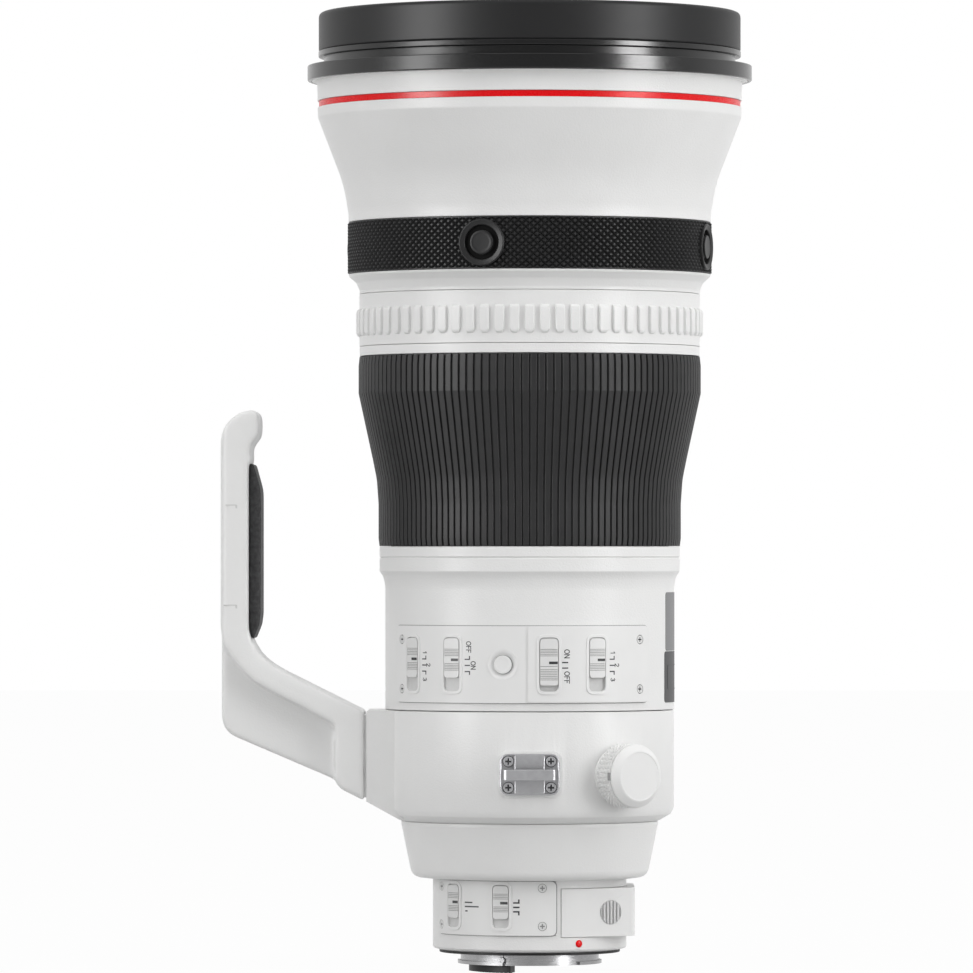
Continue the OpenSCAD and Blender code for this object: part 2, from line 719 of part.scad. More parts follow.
lug_spans = [[-98, -22], [44, 112], [165, 232]];
bayonet_lug_t = 1.2;
stop_pin_r = 0.9;
stop_pin_azimuth = -22.5;
stop_pin_z = -2.1;
pin_rise = 0.9;
face_relief = 0.2;

module bayonet_mount() color(steel) difference() {
    union() {
        ring(bayonet_bore_r, bayonet_r, -bayonet_len, gasket_h / 2);
        ring(bayonet_bore_r, mount_flange_r, 0, gasket_h);
        for (s = lug_spans)
            sector(bayonet_r - edge, bayonet_lug_r, -bayonet_len, bayonet_lug_t - bayonet_len, s[0], s[1]);
        radial(stop_pin_azimuth, stop_pin_z, bayonet_r - edge, bayonet_r + pin_rise, stop_pin_r);
    }
    ring(bayonet_r, bayonet_lug_r + face_relief, -face_relief, face_relief);
    for (a = [45:90:315]) rotate([0, 0, a]) translate([mount_screw_circle, 0, -cut]) {
        cylinder(h = cut + mount_screw_depth, r = mount_screw_r + screw_play);
        cylinder(h = 3 * cut, r = mount_shank_r + screw_play);
    }
}

contact_from = -78;
contact_to = -18;
contact_in_r = 17.4;
contact_len = 6.8;
contact_count = 12;
contact_r = 0.7;
contact_rise = 0.25;

module contact_block() color(black) {
    sector(contact_in_r, bayonet_bore_r - seat_gap, -contact_len, gasket_h, contact_from, contact_to);
    for (i = [0:contact_count - 1]) {
        a = contact_from + (contact_to - contact_from) * (i + 0.5) / contact_count;
        rotate([0, 0, a]) translate([0, -(contact_in_r + bayonet_bore_r) / 2, -contact_len - contact_rise])
            cylinder(h = contact_rise + edge, r = contact_r);
    }
}

function sag(big, r) = big - sqrt(big * big - r * r);

// A lens with a flat land at its rim: h is its edge's height, and a face with a negative radius is hollow
module lens(r, land, z, h, top, bottom) {
    steps = 8;
    clear = r - land;
    function face(big, i) = sign(big) * (sag(abs(big), clear) - sag(abs(big), clear * i / steps));
    rotate_extrude() polygon(concat(
        [for (i = [0:steps]) [clear * i / steps, z - face(bottom, i)]],
        [[r, z], [r, z + h]],
        [for (i = [steps:-1:0]) [clear * i / steps, z + h + face(top, i)]]));
}

glass_land = 1;
front_top_radius = 235;
front_bottom_radius = 620;
rear_top_radius = -150;
rear_bottom_radius = 190;

module front_element() color(glass_tint)
    lens(front_glass_r, front_glass_r - cell_bore_r + edge / 2, z_glass + seat_gap / 2,
        glass_edge_h - seat_gap, front_top_radius, front_bottom_radius);

module rear_lens() color(glass_tint)
    lens(rear_glass_r, rear_glass_r - throat_r + seat_gap, z_floor, rear_glass_h,
        rear_top_radius, rear_bottom_radius);

// Tripod collar
collar_top_gap = 0.3;
z_collar_top = main_z - collar_top_gap;
collar_round_h = 4.7;
collar_round_r = 47.6;
land_len = 5;
collar_groove = 2.4;
boss_x = 59.4;
boss_w = 38;
boss_low_z = 55.3;
boss_foot_x = 47.8;
boss_foot_z = 48.9;
joint_gap = 0.8;
joint_inset = 1;
knob_azimuth = 37.8;
knob_z = 65.4;
knob_gap = 0.8;
knob_boss_r = 10.5;
seat_rise = 0.3;
knob_seat = collar_r + seat_rise;
knob_shaft_r = 3;
lug_azimuths = [0, 180];
lug_z = 66.1;
lug_base = collar_r + seat_rise;
lug_pad_rim = 1;
lug_round = 2.6;
lug_t = 1.6;
lug_bar_w = 19;
lug_bar_h = 3.9;
lug_bar_t = 2.2;
lug_slot = 4.5;
lug_leg = 2.4;
lug_screw_x = 7.5;
lug_screw_z = 4.45;
lug_screw_r = 2;
lug_shank_r = 1.1;
lug_shank_len = 4;
foot_bolt_y = 15.4;
foot_bolt_zs = [65.8, 79.4];
foot_bolt_head_r = 2.7;
foot_bolt_head_h = 2.6;
foot_bolt_r = 1.5;
foot_bolt_len = 17;
foot_end_x = boss_x + joint_gap;
pocket_x = 71;
foot_bolt_seat_x = pocket_x - foot_bolt_head_h - edge;

// A plate with round corners that faces outwards at an azimuth
module rounded_block(a, w, h, zc, from, to, r) {
    block(a, w - 2 * r, zc - h / 2, zc + h / 2, from, to);
    block(a, w, zc - h / 2 + r, zc + h / 2 - r, from, to);
    for (x = [-1, 1], z = [-1, 1]) rotate([0, 0, a])
        translate([x * (w / 2 - r), -from, zc + z * (h / 2 - r)]) rotate([90, 0, 0])
            cylinder(h = to - from, r = r);
}

module lug_rods(a, r, from, to) for (x = [-lug_screw_x, lug_screw_x], z = [-lug_screw_z, lug_screw_z])
    rotate([0, 0, a]) translate([x, -from, lug_z + z]) rotate([90, 0, 0]) cylinder(h = to - from, r = r);

module foot_rods(r, from, to) for (y = [-foot_bolt_y, foot_bolt_y], z = foot_bolt_zs)
    translate([-to, y, z]) rotate([0, 90, 0]) cylinder(h = to - from, r = r);

module side_extrude(w) translate([0, w / 2, 0]) rotate([90, 0, 0]) linear_extrude(w) children();

module collar() color(white) difference() {
    union() {
        rotate_extrude() polygon([
            [journal_r + run_gap, collar_z], [collar_round_r, collar_z],
            [collar_r - edge * 2.2, collar_z + collar_round_h / 2], [collar_r, collar_z + collar_round_h],
            [collar_r, z_collar_top - edge / 2], [collar_r - edge / 2, z_collar_top],
            [journal_r + run_gap, z_collar_top]]);
        side_extrude(boss_w) polygon([
            [-boss_x, z_collar_top - edge], [-boss_x + edge, z_collar_top], [-journal_r, z_collar_top],
            [-journal_r, boss_foot_z], [-boss_foot_x, boss_foot_z], [-boss_x + edge, boss_low_z - edge / 2],
            [-boss_x, boss_low_z]]);
        side_extrude(boss_w - 2 * joint_inset) polygon([
            [-foot_end_x, z_collar_top - joint_inset - edge],
            [-boss_x + edge, z_collar_top - joint_inset - edge],
            [-boss_x + edge, boss_low_z + joint_inset + edge],
            [-foot_end_x, boss_low_z + joint_inset + edge]]);
        radial(knob_azimuth, knob_z, journal_r, knob_seat, knob_boss_r);
        for (a = lug_azimuths) rounded_block(a, lug_w + 2 * lug_pad_rim, lug_h + 2 * lug_pad_rim, lug_z,
            journal_r + run_gap, lug_base, lug_round + lug_pad_rim);
    }
    translate([0, 0, collar_z - cut])
        cylinder(h = z_collar_top - collar_z + 2 * cut, r = journal_r + run_gap);
    translate([0, 0, collar_z + land_len])
        cylinder(h = z_collar_top - collar_z - 2 * land_len, r = journal_r + collar_groove);
    radial(knob_azimuth, knob_z, journal_r - cut, knob_seat + cut, knob_shaft_r + 0.6 * run_gap);
    for (a = lug_azimuths) lug_rods(a, lug_shank_r + screw_play, lug_base - lug_shank_len, lug_base + cut);
    foot_rods(foot_bolt_r + screw_play, boss_x - foot_bolt_len / 2, foot_end_x + cut);
}

module strap_lugs() color(steel) for (a = lug_azimuths) difference() {
    union() {
        rounded_block(a, lug_w, lug_h, lug_z, lug_base, lug_base + lug_t, lug_round);
        block(a, lug_bar_w, lug_z - lug_bar_h / 2, lug_z + lug_bar_h / 2,
            lug_base + lug_t + lug_slot, lug_base + lug_t + lug_slot + lug_bar_t);
        for (s = [-1, 1]) rotate([0, 0, a])
            translate([s * (lug_bar_w - lug_leg) / 2 - lug_leg / 2, -lug_base - lug_t - lug_slot - edge,
                lug_z - lug_bar_h / 2]) cube([lug_leg, lug_slot + lug_t, lug_bar_h]);
    }
    lug_rods(a, lug_screw_r + screw_play, lug_base + lug_t / 2, lug_base + lug_t + cut);
    lug_rods(a, lug_shank_r + screw_play, lug_base - cut, lug_base + lug_t);
}

module collar_screws() color(steel) {
    for (a = lug_azimuths) {
        lug_rods(a, lug_screw_r, lug_base + lug_t / 2, lug_base + lug_t);
        lug_rods(a, lug_shank_r, lug_base - lug_shank_len + seat_gap, lug_base + lug_t / 2);
    }
    foot_rods(foot_bolt_head_r, foot_bolt_seat_x, foot_bolt_seat_x + foot_bolt_head_h);
    foot_rods(foot_bolt_r, pocket_x - foot_bolt_len, foot_bolt_seat_x);
}

knob_cap_r = 8.5;
knob_cap_h = 1.5;
knob_flutes = 38;
flute = 0.7;
knob_notch_w = 3;

module lock_knob() color(white) difference() {
    union() {
        radial(knob_azimuth, knob_z, journal_r + knob_gap, knob_seat + edge, knob_shaft_r);
        radial(knob_azimuth, knob_z, knob_seat + seat_gap, knob_out - knob_cap_h, knob_r);
        radial_cone(knob_azimuth, knob_z, knob_out - knob_cap_h, knob_out, knob_cap_r,
            knob_cap_r - knob_cap_h / 2);
    }
    rotate([0, 0, knob_azimuth]) translate([0, -knob_seat, knob_z]) rotate([90, 0, 0])
        for (i = [0:knob_flutes - 1]) rotate([0, 0, 360 * i / knob_flutes])
            translate([knob_r, 0, -cut]) rotate([0, 0, 45])
                translate([-flute / 2, -flute / 2, 0]) cube([flute, flute, knob_out]);
    rotate([0, 0, knob_azimuth])
        translate([-knob_r - cut, -knob_out + knob_cap_h - cut, knob_z - knob_notch_w / 2])
            cube([2 * cut, 2 * cut, knob_notch_w]);
}

// Foot: grip, curved arm and a thinner web that fills the corner
hook_x = 98.3;
grip_top_z = 187;
grip_low_z = 118.4;
arm_inner_x = 90;
arm_inner_z = 102.8;
web_w = 23;
web_inset = 0.2;
web_x = foot_x - web_inset;
web_low_z = 85;
web_overlap = 3;
foot_round = 3;
top_round = 12;
hook_round = 3;

// Outline points, from the grip's inner face at its top, at its foot and from the pocket's corner
hook_points = [[3.5, 1], [2.3, -0.5], [1.3, -1.7], [0.7, -3.4], [0.8, -6.2], [0.8, -8.4], [0, -8.7]];
throat_points = [[0, -0.4], [1.2, -5], [4.2, -9.8], [7.8, -12.9]];
pocket_points = [[-2.2, -2.9], [0, 0], [0, 19.6], [1.2, 21.2], [12.7, 27.2], [22.7, 32.2], [28.8, 35.7],
    [32.8, 39.3], [36.3, 43.3], [38.8, 46.8], [40.3, 49.8], [41.1, 52.8]];
web_points = [[0, 0], [1.2, -3.2], [3, -5.2], [5, -6.4]];
pocket_rise = 7.5;

module arm_outline() {
    z_pocket = boss_low_z + pocket_rise;
    polygon(concat(
        [[-foot_x, grip_low_z], [-foot_x, grip_top_z]],
        arc(-foot_x + top_round, foot_top_z - top_round, top_round, 174, 92, 6),
        arc(-hook_x - hook_round, foot_top_z - hook_round, hook_round, 80, 0, 4),
        [[-hook_x, grip_top_z + foot_round]],
        [for (p = hook_points) [-foot_x + foot_t + p[0], grip_top_z + p[1]]],
        [for (p = throat_points) [-foot_x + foot_t + p[0], grip_low_z + p[1]]],
        [[-arm_inner_x, arm_inner_z], [-foot_end_x - 4 * edge, z_collar_top + edge],
         [-foot_end_x - edge, z_collar_top], [-foot_end_x, z_collar_top - edge],
         [-foot_end_x, boss_low_z + edge], [-foot_end_x - edge, boss_low_z + edge]],
        [for (p = pocket_points) [-pocket_x - p[0], z_pocket + p[1]]]));
}

module web_outline() polygon(concat(
    [[-web_x, grip_low_z + web_overlap]],
    [for (p = web_points) [-web_x + p[0], web_low_z + p[1]]],
    [[-pocket_x + web_overlap, boss_low_z + pocket_rise - cut], [-pocket_x + web_overlap, z_collar_top],
     [-arm_inner_x, arm_inner_z - web_overlap - cut], [-foot_x + foot_t, grip_low_z - 2 * web_overlap]]));

// Outline seen along the axis: the mounting face has round edges
module foot_plan() {
    y = foot_w / 2 - foot_round;
    polygon(concat(
        arc(-foot_x + foot_round, y, foot_round, 90, 180, 6),
        arc(-foot_x + foot_round, -y, foot_round, 180, 270, 6),
        [[-foot_end_x, -foot_w / 2], [-foot_end_x, foot_w / 2]]));
}

module foot() color(white) difference() {
    intersection() {
        union() {
            side_extrude(foot_w) arm_outline();
            side_extrude(web_w) web_outline();
        }
        linear_extrude(2 * foot_top_z) foot_plan();
    }
    for (z = big_thread_zs) translate([-foot_x - cut, 0, z]) rotate([0, 90, 0])
        cylinder(h = thread_len + cut, r = big_thread_r);
    translate([-foot_x - cut, 0, small_thread_z]) rotate([0, 90, 0])
        cylinder(h = thread_len + cut, r = small_thread_r);
    foot_rods(foot_bolt_r + screw_play, foot_end_x - cut, pocket_x);
    foot_rods(foot_bolt_head_r + screw_play, foot_bolt_seat_x, pocket_x + cut);
}

small_thread_z = 152.7;
thread_pitch = 16;
big_thread_zs = [small_thread_z - thread_pitch, small_thread_z + thread_pitch];
pad_w = foot_w - 2 * foot_round;
pad_drop = 8.8;
pad_end_h = 11;
// Outline of the pad's two ends, in shares of its thickness and of its ends' height
pad_top_shares = [[0, 0], [0.4, 0], [0.52, 0.18], [0.74, 0.5], [0.94, 0.8], [1, 1]];
pad_low_shares = [[1, 0.47], [0.89, 0.11], [0.41, -0.37], [0.34, -0.42], [0, 0]];

module foot_pad() color([0.12, 0.12, 0.12]) {
    x0 = -foot_x + foot_t;
    top_z = grip_top_z - pad_drop;
    side_extrude(pad_w) polygon(concat(
        [for (p = pad_top_shares) [x0 + p[0] * pad_t, top_z - p[1] * pad_end_h]],
        [for (p = pad_low_shares) [x0 + p[0] * pad_t, grip_low_z + p[1] * pad_end_h]]));
}

// Drop-in filter holder with its squeeze locks on both flanks
holder_out = mount_r + holder_skin;
holder_bore_r = 24.5;
lock_r = 4.4;
lock_len = 4;
lock_x = 14.3;
lock_travel = 1.2;
frame_t = 6;
frame_r = 26;
frame_z = holder_z + (holder_h - frame_t) / 2;
filter_t = 3;
filter_lip = 1;
frame_lip = 1.2;
cap_round = 1.6;
nose_points = [[0.5, 1.1], [0, 2.6]];
flank_len = (holder_x - cap_round - holder_out * sin(holder_flat)) / cos(holder_flat);
flank_y = holder_out * cos(holder_flat) - flank_len * sin(holder_flat);

// Half of the cap's outline, seen along the axis; s is -1 for the side with the switches
function cap_half(s) = [for (p = concat(
    [[holder_in_x, holder_out * cos(holder_edge)]],
    [for (a = [holder_edge + 3:3:holder_flat]) [holder_out * sin(a), holder_out * cos(a)]],
    [[holder_x - cap_round, flank_y]],
    [for (n = nose_points) [holder_x - n[0], flank_y - n[1]]])) [p[0], s * p[1]]];

// Puts a child at the middle of a flank's lock, pointing out of the flank
module at_lock(s) {
    base_x = holder_out * sin(holder_flat) + lock_x * cos(holder_flat);
    base_y = holder_out * cos(holder_flat) - lock_x * sin(holder_flat);
    translate([base_x, s * base_y, holder_z + holder_h / 2])
        rotate([0, 0, s * (90 - holder_flat)]) rotate([0, 90, 0]) children();
}

module filter_holder() color(white) difference() {
    far_half = cap_half(1);
    union() {
        difference() {
            translate([0, 0, holder_z]) linear_extrude(holder_h)
                polygon(concat(cap_half(-1), [for (i = [len(far_half) - 1:-1:0]) far_half[i]]));
            translate([0, 0, holder_z - cut]) cylinder(h = holder_h + 2 * cut, r = holder_bore_r);
        }
        translate([0, 0, frame_z]) cylinder(h = frame_t, r = frame_r);
        translate([0, -frame_r, frame_z]) cube([holder_bore_r, 2 * frame_r, frame_t]);
    }
    translate([0, 0, frame_z - cut]) cylinder(h = frame_t + 2 * cut, r = filter_r - filter_lip);
    translate([0, 0, frame_z + frame_lip]) cylinder(h = frame_t, r = filter_r + seat_gap);
    for (s = [-1, 1]) at_lock(s) translate([0, 0, -lock_len - lock_travel])
        cylinder(h = lock_len + lock_travel + cut, r = lock_r + 0.6 * run_gap);
}

module filter_glass() color(glass_tint)
    translate([0, 0, frame_z + frame_lip]) cylinder(h = filter_t, r = filter_r);

lock_rib_w = 0.7;
module filter_lock(s) color([0.75, 0.75, 0.75]) at_lock(s) {
    translate([0, 0, -lock_len]) cylinder(h = lock_len - seat_gap, r = lock_r);
    intersection() {
        translate([0, 0, -edge]) cylinder(h = 2 * edge, r = lock_r - edge / 2);
        for (i = [-3:3]) translate([-lock_r, i * 2 * lock_rib_w - lock_rib_w / 2, -edge])
            cube([2 * lock_r, lock_rib_w, 2 * edge]);
    }
}

module filter_lock_1() filter_lock(-1);
module filter_lock_2() filter_lock(1);

// Core housing: iris on its front side, stabiliser behind it
z_core = main_z + flange_t;
core_r = main_bore_r - seat_gap;
core_wall = 3;
core_plate = 3;
core_throat_r = 24;
core_depth = 22;
iris_plate_z = z_core + core_depth;
iris_plate_t = 2;
blade_pitch = 0.35;
blade_count = 8;
blade_gap = 0.3;
z_blades = iris_plate_z + iris_plate_t + blade_gap;
iris_ring_z = z_blades + blade_count * blade_pitch + blade_gap;
iris_ring_t = 1.5;
iris_ring_r = 36;
iris_ring_in_r = 31.6;
iris_ledge = 0.8;
ledge_in_r = iris_ring_r - iris_ledge;
core_top = iris_ring_z + iris_ring_t + seat_gap;
pin_r = 0.7;
drive_arm = 3.5;
drive_pin_r = 0.6;
pin_play = 0.05;
blade_turn = 39;
drive_angle = atan2(drive_arm * sin(-blade_turn / 2), pivot_r + drive_arm * cos(blade_turn / 2));
yoke_z = z_core + core_plate + seat_gap;
yoke_t = 3.4;
yoke_r = core_r - core_wall - 2 * shift;
yoke_in_r = 32;
yoke_flat = 40;
rail_h = 3;
cell_rail_x = 35;
cell_z = yoke_z + yoke_t + seat_gap;
cell_flange_r = 37;
cell_flange_t = 1.5;
cell_h = 9.5;
stab_glass_r = 27;
cell_wall_t = 3.5;
cell_lip = 1.5;
cell_floor = 2;
stab_glass_h = 7.4;

module core_housing() color([0.15, 0.15, 0.16]) {
    difference() {
        rotate_extrude() polygon([
            [core_throat_r, z_core], [core_r, z_core], [core_r, core_top],
            [iris_ring_r + 0.8 * run_gap, core_top],
            [iris_ring_r + 0.8 * run_gap, iris_ring_z - seat_gap / 2],
            [ledge_in_r, iris_ring_z - seat_gap / 2], [ledge_in_r, iris_plate_z + iris_plate_t],
            [iris_r, iris_plate_z + iris_plate_t], [iris_r, iris_plate_z],
            [core_r - core_wall, iris_plate_z], [core_r - core_wall, z_core + core_plate],
            [core_throat_r, z_core + core_plate]]);
        for (i = [0:blade_count - 1])
            rotate([0, 0, 360 * i / blade_count]) translate([pivot_r, 0, iris_plate_z - cut])
                cylinder(h = iris_plate_t + 2 * cut, r = pin_r + pin_play);
    }
    for (s = [-1, 1]) intersection() {
        translate([0, 0, z_core + core_plate - edge])
            cylinder(h = rail_h + edge, r = core_r - core_wall + edge);
        translate([-core_r, s * (yoke_flat + seat_gap + core_r / 2) - core_r / 2,
            z_core + core_plate - edge])
            cube([2 * core_r, core_r, rail_h + edge]);
    }
}

module stabiliser_yoke() color([0.3, 0.3, 0.32]) {
    intersection() {
        ring(yoke_in_r, yoke_r, yoke_z, yoke_z + yoke_t);
        translate([-yoke_r, -yoke_flat, yoke_z]) cube([2 * yoke_r, 2 * yoke_flat, yoke_t]);
    }
    for (s = [-1, 1])
        translate([s * (cell_rail_x + seat_gap + rail_h / 2) - rail_h / 2, -rail_h * 3,
            yoke_z + yoke_t - edge])
            cube([rail_h, rail_h * 6, rail_h + edge]);
}

module stabiliser_cell() color([0.1, 0.1, 0.1]) {
    ring(stab_glass_r + seat_gap, stab_glass_r + cell_wall_t, cell_z + cell_floor - edge, cell_z + cell_h);
    ring(stab_glass_r - cell_lip, stab_glass_r + cell_wall_t, cell_z, cell_z + cell_floor);
    difference() {
        intersection() {
            translate([0, 0, cell_z]) cylinder(h = cell_flange_t, r = cell_flange_r);
            translate([-cell_rail_x, -cell_flange_r, cell_z])
                cube([2 * cell_rail_x, 2 * cell_flange_r, cell_flange_t]);
        }
        translate([0, 0, cell_z - cut])
            cylinder(h = cell_flange_t + 2 * cut, r = stab_glass_r + cell_wall_t - edge);
    }
}

stab_top_radius = -140;
stab_bottom_radius = -190;

module stabiliser_lens() color(glass_tint)
    lens(stab_glass_r, glass_land, cell_z + cell_floor, stab_glass_h, stab_top_radius,
        stab_bottom_radius);

module iris_ring() color([0.25, 0.25, 0.25]) difference() {
    ring(iris_ring_in_r, iris_ring_r, iris_ring_z, iris_ring_z + iris_ring_t);
    for (i = [0:blade_count - 1]) rotate([0, 0, 360 * i / blade_count + drive_angle])
        translate([pivot_r + drive_arm - 1.6 * drive_pin_r, -drive_pin_r - pin_play, iris_ring_z - cut])
            cube([2.8 * drive_pin_r, 2 * (drive_pin_r + pin_play), iris_ring_t + 2 * cut]);
}

blade_clear = 0.2;
blade_in_r = iris_r + blade_clear;
blade_band = 4.8;
blade_span = 92;
ear_r = 1.7;

// A crescent blade on its own level, with its pivot pin below and its drive pin above
module iris_blade(i) color([0.1, 0.1, 0.11]) rotate([0, 0, 360 * i / blade_count]) {
    z = z_blades + i * blade_pitch;
    pin = [pivot_r + drive_arm * cos(blade_turn / 2), -drive_arm * sin(blade_turn / 2)];
    translate([0, 0, z]) {
        rotate_extrude(angle = blade_span) translate([blade_in_r, 0]) square([blade_band, blade_t]);
        translate([pivot_r, 0, 0]) cylinder(h = blade_t, r = ear_r);
        translate([pin[0], pin[1], 0]) cylinder(h = blade_t, r = drive_pin_r * 1.6);
        linear_extrude(blade_t) polygon([
            [blade_in_r + edge, 0], [blade_in_r + blade_band, 0], [pivot_r, -ear_r],
            [pin[0], pin[1] - drive_pin_r],
            [pin[0], pin[1] + drive_pin_r], [pivot_r, ear_r], [blade_in_r + blade_band - edge, 3 * ear_r],
            [blade_in_r + edge, ear_r]]);
    }
    translate([pivot_r, 0, iris_plate_z + edge])
        cylinder(h = z - iris_plate_z - edge + blade_t / 2, r = pin_r);
    translate([pin[0], pin[1], z]) cylinder(h = iris_ring_z + iris_ring_t - z - seat_gap, r = drive_pin_r);
}

module iris_blade_1() iris_blade(0);
module iris_blade_2() iris_blade(1);
module iris_blade_3() iris_blade(2);
module iris_blade_4() iris_blade(3);
module iris_blade_5() iris_blade(4);
module iris_blade_6() iris_blade(5);
module iris_blade_7() iris_blade(6);
module iris_blade_8() iris_blade(7);

// Ring motor on top of the core housing, and the focusing group in its bore
motor_h = 15;
motor_in_r = 37;
motor_lip_r = 35;
motor_lip_h = 2;
motor_teeth = 24;
tooth_gap = 1.6;
tooth_depth = 2.5;

module focus_motor() color([0.5, 0.42, 0.3]) difference() {
    rotate_extrude() polygon([
        [motor_lip_r, core_top], [core_r - seat_gap, core_top], [core_r - seat_gap, core_top + motor_h],
        [motor_in_r, core_top + motor_h], [motor_in_r, core_top + motor_lip_h],
        [motor_lip_r, core_top + motor_lip_h]]);
    for (i = [0:motor_teeth - 1]) block(360 * i / motor_teeth, tooth_gap,
        core_top + motor_h - tooth_depth, core_top + motor_h + cut, motor_in_r - cut, core_r + cut);
}

cell_rest = 12;
z_cell = z_tube + cell_rest;
focus_cell_wall = 4;
focus_glass_r = focus_cell_r - focus_cell_wall;
focus_lip = 1.6;
focus_floor = 5;
focus_glass_h = 9;
focus_top_radius = 180;
focus_bottom_radius = -240;

module focus_cell() color([0.12, 0.12, 0.12]) rotate_extrude() polygon([
    [focus_glass_r - focus_lip, z_cell], [focus_cell_r, z_cell], [focus_cell_r, z_cell + focus_cell_len],
    [focus_glass_r + seat_gap, z_cell + focus_cell_len], [focus_glass_r + seat_gap, z_cell + focus_floor],
    [focus_glass_r - focus_lip, z_cell + focus_floor]]);

module focus_lens() color(glass_tint)
    lens(focus_glass_r, glass_land, z_cell + focus_floor, focus_glass_h, focus_top_radius,
        focus_bottom_radius);

front_rim();
hood_ring();
front_barrel();
red_inlays();
grip_band();
stop_bezels();
inner_tube();
main_barrel();
switch_panel();
barrel_screws();
rear_barrel();
mount_barrel();
rear_panel();
mount_gasket();
bayonet_mount();
contact_block();
nameplates();
front_element();
focus_motor();
main_board();
core_housing();
rear_lens();
playback_ring();
focus_ring();
focus_grip();
collar();
foot();
foot_pad();
strap_lugs();
collar_screws();
lock_knob();
stop_button_1();
stop_button_2();
stop_button_3();
stop_button_4();
set_button();
speed_switch();
preset_switch();
stabiliser_switch();
mode_switch();
range_switch();
focus_switch();
filter_holder();
filter_glass();
filter_lock_1();
filter_lock_2();
focus_cell();
focus_lens();
stabiliser_yoke();
stabiliser_cell();
stabiliser_lens();
iris_ring();
iris_blade_1();
iris_blade_2();
iris_blade_3();
iris_blade_4();
iris_blade_5();
iris_blade_6();
iris_blade_7();
iris_blade_8();
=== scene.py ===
"""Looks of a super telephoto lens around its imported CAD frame.

Lengths are in millimetres until a mesh is made.
"""

import math

import bmesh
import bpy
from mathutils import Matrix, Vector


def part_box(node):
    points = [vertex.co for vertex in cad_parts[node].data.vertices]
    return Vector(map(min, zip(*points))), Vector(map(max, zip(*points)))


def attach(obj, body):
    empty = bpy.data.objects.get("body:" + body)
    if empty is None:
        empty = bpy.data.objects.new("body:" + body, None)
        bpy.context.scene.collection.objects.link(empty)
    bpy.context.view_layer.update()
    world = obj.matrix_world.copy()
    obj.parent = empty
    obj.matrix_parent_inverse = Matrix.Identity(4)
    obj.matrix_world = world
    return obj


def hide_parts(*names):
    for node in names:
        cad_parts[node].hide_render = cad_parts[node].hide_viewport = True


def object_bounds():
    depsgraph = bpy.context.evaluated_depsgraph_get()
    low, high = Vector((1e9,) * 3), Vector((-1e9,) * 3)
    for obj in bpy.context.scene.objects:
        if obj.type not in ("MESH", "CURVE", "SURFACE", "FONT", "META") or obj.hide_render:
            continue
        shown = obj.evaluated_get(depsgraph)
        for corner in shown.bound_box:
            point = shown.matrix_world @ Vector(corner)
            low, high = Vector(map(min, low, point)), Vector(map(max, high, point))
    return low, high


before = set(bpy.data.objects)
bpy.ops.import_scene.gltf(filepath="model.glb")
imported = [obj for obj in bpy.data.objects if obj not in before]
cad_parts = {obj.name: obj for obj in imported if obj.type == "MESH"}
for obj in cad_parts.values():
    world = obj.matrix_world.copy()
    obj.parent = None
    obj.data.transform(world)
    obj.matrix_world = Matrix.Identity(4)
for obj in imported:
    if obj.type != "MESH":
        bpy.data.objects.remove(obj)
cad_box = [list(corner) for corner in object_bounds()]
MM = 0.001


# Shape helpers

def rounded(points, n=5):
    """A closed outline whose corners (x, y, radius) are rounded."""
    out = []
    for i, corner in enumerate(points):
        p = Vector(corner[:2])
        radius = corner[2] if len(corner) > 2 else 0
        if not radius:
            out.append(p)
            continue
        a = Vector(points[i - 1][:2]) - p
        b = Vector(points[(i + 1) % len(points)][:2]) - p
        half = max(a.angle(b) / 2, 0.05)
        t = min(radius / math.tan(half), a.length * 0.49, b.length * 0.49)
        a, b = p + a.normalized() * t, p + b.normalized() * t
        out += [a * (1 - u) ** 2 + p * (2 * u * (1 - u)) + b * u * u for u in (k / n for k in range(n + 1))]
    return out


def box_outline(w, h, radius, cx=0, cy=0, n=5):
    """A rectangle with rounded corners round (cx, cy)."""
    return rounded([(cx - w / 2, cy - h / 2, radius), (cx + w / 2, cy - h / 2, radius),
                    (cx + w / 2, cy + h / 2, radius), (cx - w / 2, cy + h / 2, radius)], n)


def circle(radius, n, cx=0, cy=0):
    turns = [2 * math.pi * k / n for k in range(n)]
    return [Vector((cx + radius * math.cos(t), cy + radius * math.sin(t))) for t in turns]


def outward(azimuth, z):
    """Local x runs round the lens, y up and z outwards, from the point on the axis at height z."""
    a = math.radians(azimuth)
    return Matrix(((math.cos(a), 0, math.sin(a), 0),
                   (math.sin(a), 0, -math.cos(a), 0),
                   (0, 1, 0, z),
                   (0, 0, 0, 1)))


def wrap(azimuth, x, z, d, at):
    """A point that lies x to the right of an azimuth, measured round the circle of radius at."""
    a = math.radians(azimuth) + x / at
    return Vector((math.sin(a) * d, -math.cos(a) * d, z))


def lathe_data(outline, n, shift=None):
    """A closed outline of (radius, height) turned about the z axis, then moved by shift."""
    pts = rounded(outline)
    verts, faces = [], []
    for k in range(n):
        a = 2 * math.pi * k / n
        verts += [Vector((p.x * math.cos(a), p.x * math.sin(a), p.y)) for p in pts]
    m = len(pts)
    for k in range(n):
        for i in range(m):
            j, q = (i + 1) % m, (k + 1) % n
            faces.append((k * m + i, q * m + i, q * m + j, k * m + j))
    if shift is not None:
        verts = [shift @ v for v in verts]
    return verts, faces


def loft_data(stations, closed=False):
    """Faces between rings of equally many points, with caps on an open loft."""
    m, n = len(stations[0]), len(stations)
    verts = [Vector(v) for s in stations for v in s]
    faces = []
    for k in range(n if closed else n - 1):
        for i in range(m):
            j, q = (i + 1) % m, (k + 1) % n
            faces.append((k * m + i, k * m + j, q * m + j, q * m + i))
    if not closed:
        faces += [tuple(reversed(range(m))), tuple(range((n - 1) * m, n * m))]
    return verts, faces


